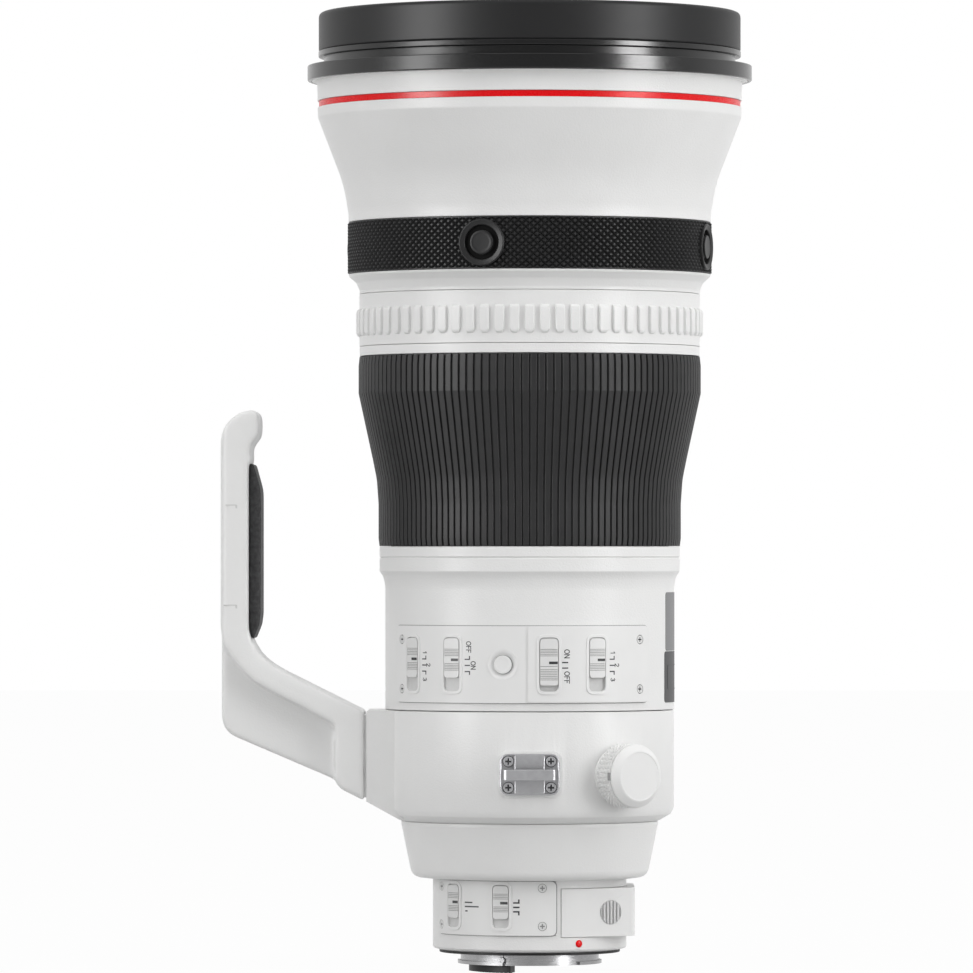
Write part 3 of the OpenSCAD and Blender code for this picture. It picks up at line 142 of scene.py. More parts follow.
def prism_data(outline, z0, z1, place):
    """A filled outline between two heights of a place."""
    low = [place @ Vector((p[0], p[1], z0)) for p in outline]
    high = [place @ Vector((p[0], p[1], z1)) for p in outline]
    return loft_data([low, high])


def joined(parts):
    """Several (verts, faces) as one."""
    verts, faces = [], []
    for v, f in parts:
        base = len(verts)
        verts += v
        faces += [tuple(i + base for i in face) for face in f]
    return verts, faces


def piece(name, data, body, mat, replaces=None, angle=35, bevel=0):
    """A finished piece of the look, riding on a body."""
    mesh = bpy.data.meshes.new(name)
    mesh.from_pydata([v * MM for v in data[0]], [], data[1])
    bm = bmesh.new()
    bm.from_mesh(mesh)
    bmesh.ops.remove_doubles(bm, verts=bm.verts, dist=2e-6)
    bmesh.ops.dissolve_degenerate(bm, edges=bm.edges, dist=1e-6)
    bmesh.ops.recalc_face_normals(bm, faces=bm.faces)
    bm.to_mesh(mesh)
    bm.free()
    mesh.polygons.foreach_set("use_smooth", [True] * len(mesh.polygons))
    mesh.set_sharp_from_angle(angle=math.radians(angle))
    obj = bpy.data.objects.new(name, mesh)
    bpy.context.scene.collection.objects.link(obj)
    mesh.materials.append(mat)
    if bevel:
        soften(obj, bevel)
    flatten(obj)
    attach(obj, body)
    if replaces:
        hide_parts(replaces)
    return obj


def soften(obj, width, segments=2, limit=35):
    """Rounded edges of a width in millimetres, where faces meet at more than limit degrees."""
    mod = obj.modifiers.new("edges", "BEVEL")
    mod.width = width * MM
    mod.segments = segments
    mod.limit_method = "ANGLE"
    mod.angle_limit = math.radians(limit)
    mod.harden_normals = True
    mod.use_clamp_overlap = True


def flatten(obj):
    """Large faces keep their own shading, so that only the rounded edges look round."""
    mod = obj.modifiers.new("normals", "WEIGHTED_NORMAL")
    mod.keep_sharp = True


def lathe(name, outline, body, mat, n, **more):
    return piece(name, lathe_data(outline, n), body, mat, **more)


def plate_data(outline, holes, place, low, high, cuts=()):
    """A plate with holes, cut into strips so that place can bend it, from height low to high."""
    bm = bmesh.new()
    edges = []
    for loop in [outline] + list(holes):
        vs = [bm.verts.new((p[0], p[1], 0)) for p in loop]
        edges += [bm.edges.new((vs[i - 1], vs[i])) for i in range(len(vs))]
    bmesh.ops.triangle_fill(bm, edges=edges, use_beauty=True)
    for x in cuts:
        geom = bm.verts[:] + bm.edges[:] + bm.faces[:]
        bmesh.ops.bisect_plane(bm, geom=geom, plane_co=(x, 0, 0), plane_no=(1, 0, 0))
    bm.verts.index_update()
    flat = [v.co.copy() for v in bm.verts]
    tops = [[v.index for v in f.verts] for f in bm.faces]
    count = len(flat)
    verts = [place(p.x, p.y, low) for p in flat] + [place(p.x, p.y, high) for p in flat]
    faces = [tuple(reversed(f)) for f in tops] + [tuple(i + count for i in f) for f in tops]
    for e in bm.edges:
        if len(e.link_faces) == 1:
            i, j = e.verts[0].index, e.verts[1].index
            faces.append((i, j, j + count, i + count))
    bm.free()
    return verts, faces


# Materials


def ranged(tree, value, from_min, from_max, to_min, to_max):
    """A node's value mapped from one range to another."""
    node = tree.nodes.new("ShaderNodeMapRange")
    node.inputs["From Min"].default_value = from_min
    node.inputs["From Max"].default_value = from_max
    node.inputs["To Min"].default_value = to_min
    node.inputs["To Max"].default_value = to_max
    tree.links.new(value, node.inputs["Value"])
    return node.outputs["Result"]


def material(name, color, rough, grain, tone, metal=0.0, spec=0.5, grain_size=0.3, tone_size=30.0,
             rings=0.0):
    """Painted, moulded or turned surface: grain in relief and roughness, tone in colour, millimetres."""
    mat = bpy.data.materials.new(name)
    mat.use_nodes = True
    tree = mat.node_tree
    nodes, links = tree.nodes, tree.links
    shader = nodes["Principled BSDF"]
    shader.inputs["Metallic"].default_value = metal
    shader.inputs["Specular IOR Level"].default_value = spec
    shader.inputs["Base Color"].default_value = (*color, 1)
    shader.inputs["Roughness"].default_value = rough
    place = nodes.new("ShaderNodeTexCoord").outputs["Object"]

    def noise(size, detail=3.0, where=place):
        tex = nodes.new("ShaderNodeTexNoise")
        tex.inputs["Scale"].default_value = 1 / (size * MM)
        tex.inputs["Detail"].default_value = detail
        links.new(where, tex.inputs["Vector"])
        return tex.outputs["Fac"]

    def spread(value, low, high):
        return ranged(tree, value, 0.3, 0.7, low, high)

    mix = nodes.new("ShaderNodeMix")
    mix.data_type = "RGBA"
    links.new(spread(noise(tone_size, 4.0), 0, 1), mix.inputs["Factor"])
    mix.inputs["A"].default_value = (*[c * (1 - tone) for c in color], 1)
    mix.inputs["B"].default_value = (*[min(c * (1 + tone), 1) for c in color], 1)
    links.new(mix.outputs["Result"], shader.inputs["Base Color"])
    if rings:
        # Noise drawn out in the plane of the rings looks like a lathe's tool marks
        flat = nodes.new("ShaderNodeMapping")
        flat.inputs["Scale"].default_value = (0.02, 0.02, 1)
        links.new(place, flat.inputs["Vector"])
        height = noise(rings, 2.0, flat.outputs["Vector"])
    else:
        height = noise(grain_size)
    links.new(spread(height, rough * 0.85, min(rough * 1.15, 1)), shader.inputs["Roughness"])
    bump = nodes.new("ShaderNodeBump")
    bump.inputs["Strength"].default_value = 1.0
    bump.inputs["Distance"].default_value = grain * MM
    links.new(height, bump.inputs["Height"])
    links.new(bump.outputs["Normal"], shader.inputs["Normal"])
    return mat


PAINT = (0.78, 0.78, 0.775)
WHITE = material("white_textured_paint", PAINT, 0.34, spec=0.12, grain=0.09,
                 grain_size=0.6, tone=0.012, tone_size=18)
WHITE_SMOOTH = material("white_smooth_paint", PAINT, 0.36, spec=0.08, grain=0.008,
                        grain_size=0.35, tone=0.012, tone_size=12)
SATIN = material("black_satin_metal", (0.016, 0.016, 0.0165), 0.42, spec=0.16, grain=0.012,
                 grain_size=0.18, tone=0.08)
GLOSS = material("black_gloss_ring", (0.004, 0.004, 0.0043), 0.22, spec=0.5, grain=0.002,
                 grain_size=0.6, tone=0.05)
RUBBER = material("black_ribbed_rubber", (0.024, 0.024, 0.0245), 0.5, spec=0.16, grain=0.02,
                  grain_size=0.25, tone=0.1, tone_size=8)
KNURL = material("black_knurled_rubber", (0.023, 0.023, 0.0235), 0.45, spec=0.18,
                 grain=0.012, grain_size=0.2, tone=0.1, tone_size=6)
PAD = material("black_grained_pad", (0.026, 0.026, 0.027), 0.6, spec=0.3, grain=0.3,
               grain_size=0.9, tone=0.5, tone_size=1.4)
PLASTIC = material("black_moulded_plastic", (0.021, 0.021, 0.0215), 0.38, spec=0.16,
                   grain=0.01, grain_size=0.2, tone=0.08, tone_size=5)
GREY = material("pale_grey_plastic", (0.72, 0.72, 0.715), 0.38, spec=0.15, grain=0.006,
                grain_size=0.25, tone=0.015, tone_size=4)
RED = material("red_enamel", (0.75, 0.004, 0.007), 0.28, spec=0.15, grain=0.002, grain_size=0.5,
               tone=0.03, tone_size=3)
# Black ink for the printed marks and index bars, also painted shade in screw crosses and in the gaps round
# screw heads
INK_AND_SHADE = material("black_ink_and_painted_shade", (0.03, 0.03, 0.032), 0.5, spec=0.3, grain=0.002,
               grain_size=0.2, tone=0.05, tone_size=1)
STEEL = material("brushed_lug_steel", (0.36, 0.36, 0.37), 0.42, metal=1.0, grain=0.004,
                 grain_size=0.15, tone=0.05, tone_size=2)
TURNED = material("turned_mount_steel", (0.32, 0.32, 0.325), 0.28, metal=1.0, grain=0.006,
                  rings=0.12, tone=0.06, tone_size=3)
GOLD = material("gold_contact", (0.75, 0.55, 0.25), 0.25, metal=1.0, grain=0.002, tone=0.03,
                tone_size=1)
PLATE = material("grey_nameplate", (0.2, 0.2, 0.205), 0.5, metal=0.3, grain=0.006,
                 grain_size=0.2, tone=0.03)
PLATE_DARK = material("dark_nameplate", (0.055, 0.055, 0.058), 0.5, metal=0.3, grain=0.006,
                      grain_size=0.2, tone=0.03)
INNER = material("matt_black_inside", (0.006, 0.006, 0.006), 0.75, spec=0.04, grain=0.03,
                 grain_size=0.3, tone=0.1)
BRASS = material("machined_stator", (0.45, 0.34, 0.16), 0.32, metal=1.0, grain=0.004,
                 rings=0.2, tone=0.05, tone_size=4)
CIRCUIT = material("green_circuit_board", (0.01, 0.12, 0.05), 0.35, grain=0.006, grain_size=0.4,
                   tone=0.25, tone_size=1.5)
# Painted shade: grey put at the panels' seams, at groove bottoms, in a notch and in screw gaps, where shade
# falls
PAINTED_SHADE = material("grey_seam", (0.3, 0.3, 0.3), 0.6, spec=0.15, grain=0.006,
                grain_size=0.25, tone=0.06, tone_size=2)
# Painted shade: grey on the floors of the switch slots and in the engraved marks on the foot
RECESS_SHADE_GREY = material("painted_recess_shade_grey", (0.6, 0.6, 0.595), 0.45, spec=0.15, grain=0.006,
                     grain_size=0.25, tone=0.03, tone_size=2)
LOCK = material("grey_lock_button", (0.58, 0.58, 0.58), 0.35, spec=0.2, grain=0.006,
                grain_size=0.25, tone=0.03, tone_size=3)


def glass_material():
    """Clear glass with a faint green coat and traces of handling in its gloss."""
    mat = bpy.data.materials.new("coated_glass")
    mat.use_nodes = True
    tree = mat.node_tree
    shader = tree.nodes["Principled BSDF"]
    shader.inputs["Base Color"].default_value = (0.93, 0.97, 0.96, 1)
    shader.inputs["Roughness"].default_value = 0.0
    shader.inputs["Transmission Weight"].default_value = 1.0
    shader.inputs["IOR"].default_value = 1.45
    shader.inputs["Coat Weight"].default_value = 0.35
    shader.inputs["Coat Tint"].default_value = (0.78, 0.94, 0.86, 1)
    shader.inputs["Coat Roughness"].default_value = 0.0
    tex = tree.nodes.new("ShaderNodeTexNoise")
    tex.inputs["Scale"].default_value = 40
    tree.links.new(ranged(tree, tex.outputs["Fac"], 0, 1, 0, 0.02), shader.inputs["Roughness"])
    return mat


GLASS = glass_material()
# Each CAD node's own material
CARRIED = {
    WHITE: ["front_barrel", "inner_tube", "main_barrel", "rear_barrel", "mount_barrel", "collar", "foot",
            "filter_holder", "lock_knob", "playback_ring"],
    WHITE_SMOOTH: ["switch_panel", "rear_panel"],
    SATIN: ["front_rim", "focus_ring"],
    INNER: ["core_housing", "focus_cell", "stabiliser_yoke", "stabiliser_cell", "iris_ring"]
           + [f"iris_blade_{i}" for i in range(1, 9)],
    GLOSS: ["hood_ring"],
    RED: ["red_inlays"],
    KNURL: ["grip_band"],
    RUBBER: ["focus_grip", "mount_gasket"],
    PAD: ["foot_pad"],
    PLASTIC: ["stop_bezels", "set_button", "contact_block"] + [f"stop_button_{i}" for i in range(1, 5)],
    GREY: ["speed_switch", "preset_switch", "stabiliser_switch", "mode_switch", "range_switch",
           "focus_switch", "filter_lock_1", "filter_lock_2"],
    STEEL: ["barrel_screws", "strap_lugs", "collar_screws"],
    TURNED: ["bayonet_mount"],
    PLATE: ["nameplates"],
    BRASS: ["focus_motor"],
    CIRCUIT: ["main_board"],
    GLASS: ["front_element", "rear_lens", "filter_glass", "focus_lens", "stabiliser_lens"],
}
for mat, names in CARRIED.items():
    for name in names:
        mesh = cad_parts[name].data
        mesh.materials.clear()
        mesh.materials.append(mat)
        mesh.polygons.foreach_set("material_index", [0] * len(mesh.polygons))


# Front end: black rim, gloss hood ring, white front barrel with its red line

RING_SIDES = 320
lathe("rim_ring", [(69.4, 330.0), (71.9, 330.0), (71.9, 329.0), (76.7, 329.0, 0.3), (77.2, 329.6, 0.6),
                   (77.2, 343.3, 3.3), (73.1, 343.3, 0.5), (72.3, 334.2, 0.4), (69.4, 332.0, 0.2)],
      "barrel", SATIN, n=RING_SIDES, replaces="front_rim")
lathe("hood_flange", [(73.6, 319.6), (80.0, 319.6), (80.0, 318.2, 0.15), (81.3, 318.2, 0.7),
                      (81.3, 323.8, 0.45), (75.3, 323.8, 0.3), (75.3, 327.0, 0.3), (77.3, 327.0, 0.35),
                      (77.3, 329.0, 0.2), (73.6, 329.0)],
      "barrel", GLOSS, n=RING_SIDES, replaces="hood_ring")
lathe("front_shell", [(73.5, 328.5), (73.5, 319.6), (79.9, 319.6), (79.9, 318.2, 0.3),
                      (77.75, 318.2, 0.2), (77.6, 310.9, 0.15), (76.2, 310.9), (76.2, 308.5),
                      (77.6, 308.5, 0.15), (77.45, 304.9, 3.0), (68.2, 280.8, 55), (66.3, 269.8, 18),
                      (66.3, 266.5, 0.3), (64.5, 266.5), (64.5, 247.5), (66.3, 247.5, 0.3),
                      (65.9, 246.6, 0.5), (63.4, 244.4, 2.5), (62.2, 241.5, 1.8), (62.2, 240.3, 0.15),
                      (58.2, 240.3), (58.2, 246.6), (55.5, 246.6), (55.5, 248.4), (62.9, 248.4),
                      (62.9, 269.8), (65.6, 280.8), (75.0, 304.9), (75.0, 317.2), (71.0, 319.2),
                      (71.0, 321.0), (67.6, 321.0), (67.6, 324.0), (71.5, 324.0), (71.5, 328.5)],
      "barrel", WHITE, n=RING_SIDES, replaces="front_barrel")


def baffle_outline():
    """Black light baffle inside the front barrel, with stepped ridges that narrow towards the back."""
    pitch = 4.2
    depth = 1.6
    slope = 0.083
    ridges = []
    for k in range(16):
        z = 318.0 - k * pitch
        r = min(66.5, 61.0 + (z - 252.0) * slope)
        ridges += [(r, z), (r - depth, z - 0.4), (r - depth, z - 0.9), (r, z - 1.3)]
    wall = [(67.4, 318.4), (67.4, 300.0), (61.8, 270.0), (61.8, 250.2), (55.0, 250.2), (55.0, 251.4)]
    return wall + ridges[::-1]


lathe("front_baffle", baffle_outline(), "barrel", INNER, n=192, angle=20)


# Grip band with four dished stop buttons

STOP_AZIMUTHS = (-15, 75, 165, 255)
STOP_Z = 257.0


def grip_band():
    """Staggered diamonds with flat tips on a backing ring, left out round the stop buttons."""
    around = 152
    rows = 7.5
    low, high = 248.0, 266.0
    tall = (high - low) / rows
    step = 360 / around
    floor = 65.45
    foot = 65.65
    edge = 66.2
    tip = 66.6
    clear = 7.4
    ring = lathe_data([(64.7, low - 0.45), (edge, low - 0.45, 0.2), (edge, low), (floor, low + 0.05),
                       (floor, high - 0.05), (edge, high), (edge, high + 0.45, 0.2),
                       (64.7, high + 0.45)], 2 * around)
    verts, faces = [], []

    def point(i, j, d):
        return wrap(i * step, 0, min(max(low + j * tall, low), high), d, 1)

    def near_stop(i, z):
        turns = [math.radians((i * step - azimuth + 180) % 360 - 180) for azimuth in STOP_AZIMUTHS]
        return min(math.hypot(turn * tip, z - STOP_Z) for turn in turns) < clear

    for half in (0, 0.5):
        for row in range(int(rows) + 2):
            j = row + half
            z = low + j * tall
            if z > high + 0.1:
                continue
            for column in range(around):
                i = column + half
                if near_stop(i, z):
                    continue
                n = len(verts)
                for reach, d in ((0.5, foot), (0.17, tip)):
                    verts += [point(i - reach, j, d), point(i, j - reach, d),
                              point(i + reach, j, d), point(i, j + reach, d)]
                for a in range(4):
                    b = (a + 1) % 4
                    faces.append((n + a, n + b, n + 4 + b, n + 4 + a))
                faces.append((n + 4, n + 5, n + 6, n + 7))
    return joined([ring, (verts, faces)])


def stop_buttons():
    """Four dished buttons, each in a well with a ringed bezel."""
    bezel = [(6.2, 60.0), (8.45, 60.0), (8.45, 66.9, 0.3), (8.0, 67.2, 0.3), (7.3, 66.95, 0.8),
             (6.4, 66.75, 0.25), (6.2, 66.3)]
    well = [(4.4, 64.0), (6.25, 64.0), (6.25, 65.55), (4.4, 65.55)]
    cap = [(0.01, 66.5), (4.25, 66.5), (4.25, 67.0, 0.35), (3.6, 67.05, 0.3), (2.9, 66.95, 0.8),
           (0.01, 66.9)]
    places = [outward(azimuth, STOP_Z) for azimuth in STOP_AZIMUTHS]
    for number, place in enumerate(places, 1):
        node = f"stop_button_{number}"
        piece(f"stop_cap_{number}", lathe_data(cap, 96, place), node, PLASTIC, replaces=node)
    piece("stop_bezel_rings", joined([lathe_data(bezel, 96, place) for place in places]), "barrel", PLASTIC,
          replaces="stop_bezels")
    # Well floors in the darkest matt black: painted shade in the gap round each cap
    piece("stop_well_shade", joined([lathe_data(well, 96, place) for place in places]), "barrel", INNER)


piece("grip_knurl", grip_band(), "barrel", KNURL, replaces="grip_band", angle=25)
stop_buttons()


# Playback ring with its chamfered ribs

def playback_ring():
    """Smooth ring with ribs that sink into it at both ends."""
    ribs = 72
    ring = 62.3
    chamfer = 0.12
    parts = [lathe_data([(58.5, 221.15), (ring, 221.15, 0.25), (ring, 240.15, 0.25), (58.5, 240.15)],
                        4 * ribs)]
    # Place along the lens, rise, half width of the top and half width of the foot
    stations = [(224.5, -0.2, 0.85, 1.0), (225.1, 0.75, 1.05, 1.45), (226.1, 1.2, 1.5, 1.85),
                (233.3, 1.2, 1.5, 1.85), (234.2, 0.95, 1.5, 1.8), (235.1, -0.2, 1.35, 1.6)]
    for k in range(ribs):
        rings = []
        for z, rise, top, foot in stations:
            section = [(-foot, -0.3), (-top - chamfer, rise - 0.18), (-top + chamfer, rise),
                       (top - chamfer, rise), (top + chamfer, rise - 0.18), (foot, -0.3)]
            rings.append([wrap(360 * k / ribs, x, z, ring + y, ring) for x, y in section])
        parts.append(loft_data(rings))
    return joined(parts)


piece("playback_ribs", playback_ring(), "playback_ring", WHITE, replaces="playback_ring", angle=28)


# Focus ring: ribbed rubber over the metal sleeve

def focus_line():
    """The rubber's outside from rear to front, in steps short enough for its curve."""
    points = rounded([(55.3, 148.2), (55.3, 163.7, 30), (55.94, 172.7, 30), (57.42, 180.0, 30),
                      (62.6, 204.0, 1.0), (62.6, 217.3)], 6)
    line = []
    for low, high in zip(points, points[1:]):
        steps = max(1, round((high - low).length / 3.0))
        line += [low.lerp(high, k / steps) for k in range(steps)]
    return line + [points[-1]]


def focus_rubber():
    """Flat ribs with narrow grooves between them, and ends a little lower than the rest."""
    ribs = 135
    thick = 2.15
    # Share of a rib's pitch, and depth below the rib's top
    columns = [(-0.075, 0.7), (0.075, 0.7), (0.12, 0.12), (0.18, 0.0), (0.82, 0.0), (0.88, 0.12)]
    line = focus_line()
    lower = [0.35] + [0] * (len(line) - 2) + [0.35]
    rings = []
    for k in range(ribs):
        for share, depth in columns:
            azimuth = 360 * (k + share) / ribs
            outside = [wrap(azimuth, 0, p.y, p.x - depth - end, 1) for p, end in zip(line, lower)]
            inside = [wrap(azimuth, 0, p.y, p.x - thick, 1) for p in reversed(line)]
            rings.append(outside + inside)
    return loft_data(rings, closed=True)


piece("focus_rubber", focus_rubber(), "focus_ring", RUBBER, replaces="focus_grip", angle=30)


# Copies of CAD nodes with softened edges

def carried(name, node, body, mat, width, angle=30, segments=2, flat=True):
    """A copy of a CAD node's mesh, with rounded edges of a width in millimetres."""
    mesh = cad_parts[node].data.copy()
    mesh.name = name
    bm = bmesh.new()
    bm.from_mesh(mesh)
    bmesh.ops.remove_doubles(bm, verts=bm.verts, dist=2e-6)
    bmesh.ops.dissolve_limit(bm, angle_limit=math.radians(0.4), verts=bm.verts, edges=bm.edges)
    bmesh.ops.recalc_face_normals(bm, faces=bm.faces)
    bm.to_mesh(mesh)
    bm.free()
    mesh.polygons.foreach_set("use_smooth", [True] * len(mesh.polygons))
    mesh.set_sharp_from_angle(angle=math.radians(angle))
    mesh.materials.clear()
    mesh.materials.append(mat)
    obj = bpy.data.objects.new(name, mesh)
    bpy.context.scene.collection.objects.link(obj)
    if width:
        soften(obj, width, segments, limit=32)
    if width and flat:
        flatten(obj)
    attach(obj, body)
    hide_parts(node)
    return obj


for node in ("front_element", "rear_lens"):
    carried(node + "_glass", node, "barrel", GLASS, 0, angle=40)


# Bent plates and cross screws

SCREW_SIDES = 28


def flat_place(place):
    return lambda x, y, d: place @ Vector((x, y, d))


def bent_place(at):
    return lambda x, y, d: wrap(0, x, y, d, at)


def arc_x(azimuth, at):
    """An azimuth as a distance along the circle of radius at."""
    return math.radians(azimuth) * at


def strips(x0, x1, step=1.5):
    """Places at which a plate is cut so that it can be bent."""
    n = max(2, round((x1 - x0) / step))
    return [x0 + (x1 - x0) * k / n for k in range(1, n)]


def screw_recess(place, radius, top):
    """Painted shade: a dark disc at the bottom of a cross and a dark ring in the gap round a head."""
    inner, outer = radius - 0.05, radius + 0.24
    return [prism_data(circle(radius * 0.7, SCREW_SIDES), top - 0.33, top - 0.26, place),
            lathe_data([(inner, top - 0.5), (outer, top - 0.5), (outer, top - 0.3), (inner, top - 0.3)],
                       SCREW_SIDES, place)]


def cross_screw(place, radius, top):
    """A cross-recessed screw head whose face is at height top."""
    arm, half = radius * 0.62, radius * 0.17
    cross = [(half, half), (half, arm), (-half, arm), (-half, half), (-arm, half), (-arm, -half),
             (-half, -half), (-half, -arm), (half, -arm), (half, -half), (arm, -half), (arm, half)]
    head = plate_data(circle(radius, SCREW_SIDES), [cross], flat_place(place), top - 0.35, top)
    floor = prism_data(circle(radius * 0.9, SCREW_SIDES), top - 0.8, top - 0.34, place)
    return joined([head, floor])


# Main barrel and its switch panel

# Radii of the panel's face and of its raised field, height of the slots, radius of a screw head
MAIN = 53.5
RAISED = 54.0
SLOT_Z = 105.55
SCREW = 1.45
lathe("main_shell", [(48.7, 88.7), (52.8, 88.7, 0.3), (52.8, 133.6, 14), (53.5, 137.0, 6),
                     (54.9, 139.05, 0.35), (54.9, 143.65), (54.4, 144.05), (54.9, 144.45),
                     (54.9, 148.05, 0.35), (51.2, 148.05)], "barrel", WHITE, n=288,
      replaces="main_barrel")


def slot_outline(x, z, w, length, grow=0.0):
    return box_outline(w + 2 * grow, length + 2 * grow, 1.9 + grow, x, z, 6)


def switch_plate(name, span, at, slots, holes, node, corner, raised_x=None):
    """A bent plate with framed slots over a grey sheet of painted shade at its seam, and a raised field
    from raised_x on.
    """
    x0, x1, z0, z1 = span
    place = bent_place(at)
    openings = [slot_outline(*slot) for slot in slots]
    outline = rounded([(x0, z0, corner), (x1, z0, corner), (x1, z1, corner), (x0, z1, corner)])
    parts = [plate_data(outline, openings + holes, place, at - 0.8, at, strips(x0, x1))]
    if raised_x is not None:
        inset = 0.25
        field = rounded([(raised_x, z0 + inset, 0.4), (x1 - inset, z0 + inset, corner),
                         (x1 - inset, z1 - inset, corner), (raised_x, z1 - inset, 0.4)])
        inside = [o for o in openings + holes if min(p.x for p in o) > raised_x]
        parts.append(plate_data(field, inside, place, at - 0.4, RAISED, strips(raised_x, x1)))
    piece(name, joined(parts), "barrel", WHITE_SMOOTH, replaces=node, angle=40, bevel=0.32)
    # Grey sheet under the plate's edge: painted shade in the gap round the panel
    shade = rounded([(x0 - 0.5, z0 - 0.25, corner), (x1 + 0.5, z0 - 0.25, corner),
                     (x1 + 0.5, z1 + 0.25, corner), (x0 - 0.5, z1 + 0.25, corner)])
    piece(name + "_seam", plate_data(shade, [], place, at - 0.85, at - 0.62, strips(x0, x1)), "barrel",
          PAINTED_SHADE)
    frames, floors = [], []
    for slot in slots:
        x, width = slot[0], slot[2]
        bends = strips(x - width, x + width, 1.0)
        top = RAISED if raised_x is not None and x > raised_x else at
        frames.append(plate_data(slot_outline(*slot, 1.05), [slot_outline(*slot, 0.02)], place, top - 0.2,
                                 top + 0.32, bends))
        # Grey slot floors: painted shade in the slots
        floors.append(plate_data(slot_outline(*slot, 0.3), [], place, at - 0.85, at - 0.6, bends))
    piece(name + "_frames", joined(frames), "barrel", WHITE_SMOOTH, angle=40, bevel=0.3)
    piece(name + "_floors", joined(floors), "barrel", RECESS_SHADE_GREY)


# Each slot is its place, width and length; each screw is its azimuth and height
SLOTS_MAIN = [(arc_x(azimuth, MAIN), SLOT_Z, width, 19.4)
              for azimuth, width in ((-52.4, 6.6), (-31.7, 6.6), (7.4, 6.9), (26.8, 6.6))]
SET_AZIMUTH = -10.4
MAIN_SCREWS = [(-60, 114.4), (-60, 96.5), (47.6, 114.4), (47.6, 96.5)]
main_holes = [circle(5.5, 48, arc_x(SET_AZIMUTH, MAIN), SLOT_Z)]
main_holes += [circle(1.7, 24, arc_x(azimuth, MAIN), z) for azimuth, z in MAIN_SCREWS]
switch_plate("main_panel_plate", (arc_x(-65, MAIN), arc_x(53.5, MAIN), 91.7, 119.4), MAIN, SLOTS_MAIN,
             main_holes, "switch_panel", 2.6, raised_x=arc_x(-0.6, MAIN))

REAR = 36.2
SLOTS_REAR = [(arc_x(azimuth, REAR), 17.8, 6.2, 15.6) for azimuth in (-49.8, -16.9)]
REAR_SCREWS = [(7.3, 24.5), (7.3, 10.7), (-62.4, 24.5), (-62.4, 10.7)]
rear_holes = [circle(1.65, 24, arc_x(azimuth, REAR), z) for azimuth, z in REAR_SCREWS]
switch_plate("rear_panel_plate", (arc_x(-66.5, REAR), arc_x(15.4, REAR), 7.3, 26.9), REAR, SLOTS_REAR,
             rear_holes, "rear_panel", 2.2)


def barrel_screws():
    """Cross screws of both panels and of the mount, with painted shade in the crosses and gaps of the
    panels' screws.
    """
    heads, recesses, rear_recesses = [], [], []
    sunk = 0.02
    for azimuth, z in MAIN_SCREWS:
        top = (RAISED if azimuth > 0 else MAIN) - sunk
        heads.append(cross_screw(outward(azimuth, z), SCREW, top))
        recesses += screw_recess(outward(azimuth, z), SCREW, top)
    for azimuth, z in REAR_SCREWS:
        heads.append(cross_screw(outward(azimuth, z), SCREW, REAR - sunk))
        rear_recesses += screw_recess(outward(azimuth, z), SCREW, REAR - sunk)
    mount_circle = 27.6
    for azimuth in (45, 135, 225, 315):
        a = math.radians(azimuth)
        place = Matrix.Translation((mount_circle * math.cos(a), mount_circle * math.sin(a), 0))
        heads.append(cross_screw(place @ Matrix.Rotation(math.pi, 4, "X"), 1.2, -sunk))
    piece("panel_screw_shade", joined(recesses), "barrel", INK_AND_SHADE)
    piece("rear_screw_shade", joined(rear_recesses), "barrel", PAINTED_SHADE)
    piece("panel_screw_heads", joined(heads), "barrel", GREY, replaces="barrel_screws", bevel=0.06)


barrel_screws()

# Set button in its dish
place = outward(SET_AZIMUTH, SLOT_Z)
piece("set_dish", lathe_data([(3.5, 52.9), (5.6, 52.9), (5.6, 53.5), (5.45, 53.5), (4.6, 53.3, 0.4),
                              (3.75, 52.95, 0.3), (3.5, 52.92)], 72, place), "barrel", WHITE_SMOOTH)
piece("set_cap", lathe_data([(0.01, 53.62), (3.3, 53.62), (3.3, 53.76, 0.1), (2.6, 53.82, 0.3),
                             (2.1, 53.72, 0.8), (0.01, 53.7)], 72, place), "set_button", WHITE_SMOOTH,
      replaces="set_button")


# Slide switches: grooves above and below a smooth middle with a black index bar

def slider(node, slot, length, at, bar_z, upper, lower):
    """A slider whose grooves lie at the given heights above and below its index bar."""
    x, z, w, slot_length = slot
    z_top = z + slot_length / 2 - 0.25
    z_low = z_top - length
    # The raised part of the main panel is bent about the same radius as the rest
    bent = bent_place(min(at, MAIN))
    inner = w - 0.45
    left, right = x - inner / 2, x + inner / 2
    across = strips(left, right, 0.8)
    base = plate_data(box_outline(inner, length, 1.6, x, (z_top + z_low) / 2), [], bent, at - 0.55,
                      at + 0.02, across)
    levels = sorted(bar_z + step for step in upper + lower)
    edges = [z_low] + levels + [z_top]
    gap = 0.1
    square = 0.1
    lands, grooves = [], []
    for low, high in zip(edges, edges[1:]):
        corner = min(1.5, high - low - 0.3)
        low_corner = corner if low == z_low else square
        high_corner = corner if high == z_top else square
        outline = rounded([(left, low + gap, low_corner), (right, low + gap, low_corner),
                           (right, high - gap, high_corner), (left, high - gap, high_corner)])
        lands.append(plate_data(outline, [], bent, at - 0.1, at + 0.42, across))
    # Grey strips at the groove bottoms: painted shade in the grooves
    for level in levels:
        outline = box_outline(inner - 0.3, 0.24, 0.02, x, level)
        grooves.append(plate_data(outline, [], bent, at - 0.1, at + 0.14, across))
    piece(node + "_knob", joined([base] + lands), node, GREY, replaces=node, bevel=0.06)
    piece(node + "_grooves", joined(grooves), node, PAINTED_SHADE)
    bar = box_outline(inner / 2 - 0.1, 0.95, 0.1, x + inner / 4 - 0.1, bar_z)
    piece(node + "_index", plate_data(bar, [], bent, at + 0.3, at + 0.47, strips(x, right, 0.8)), node,
          INK_AND_SHADE)


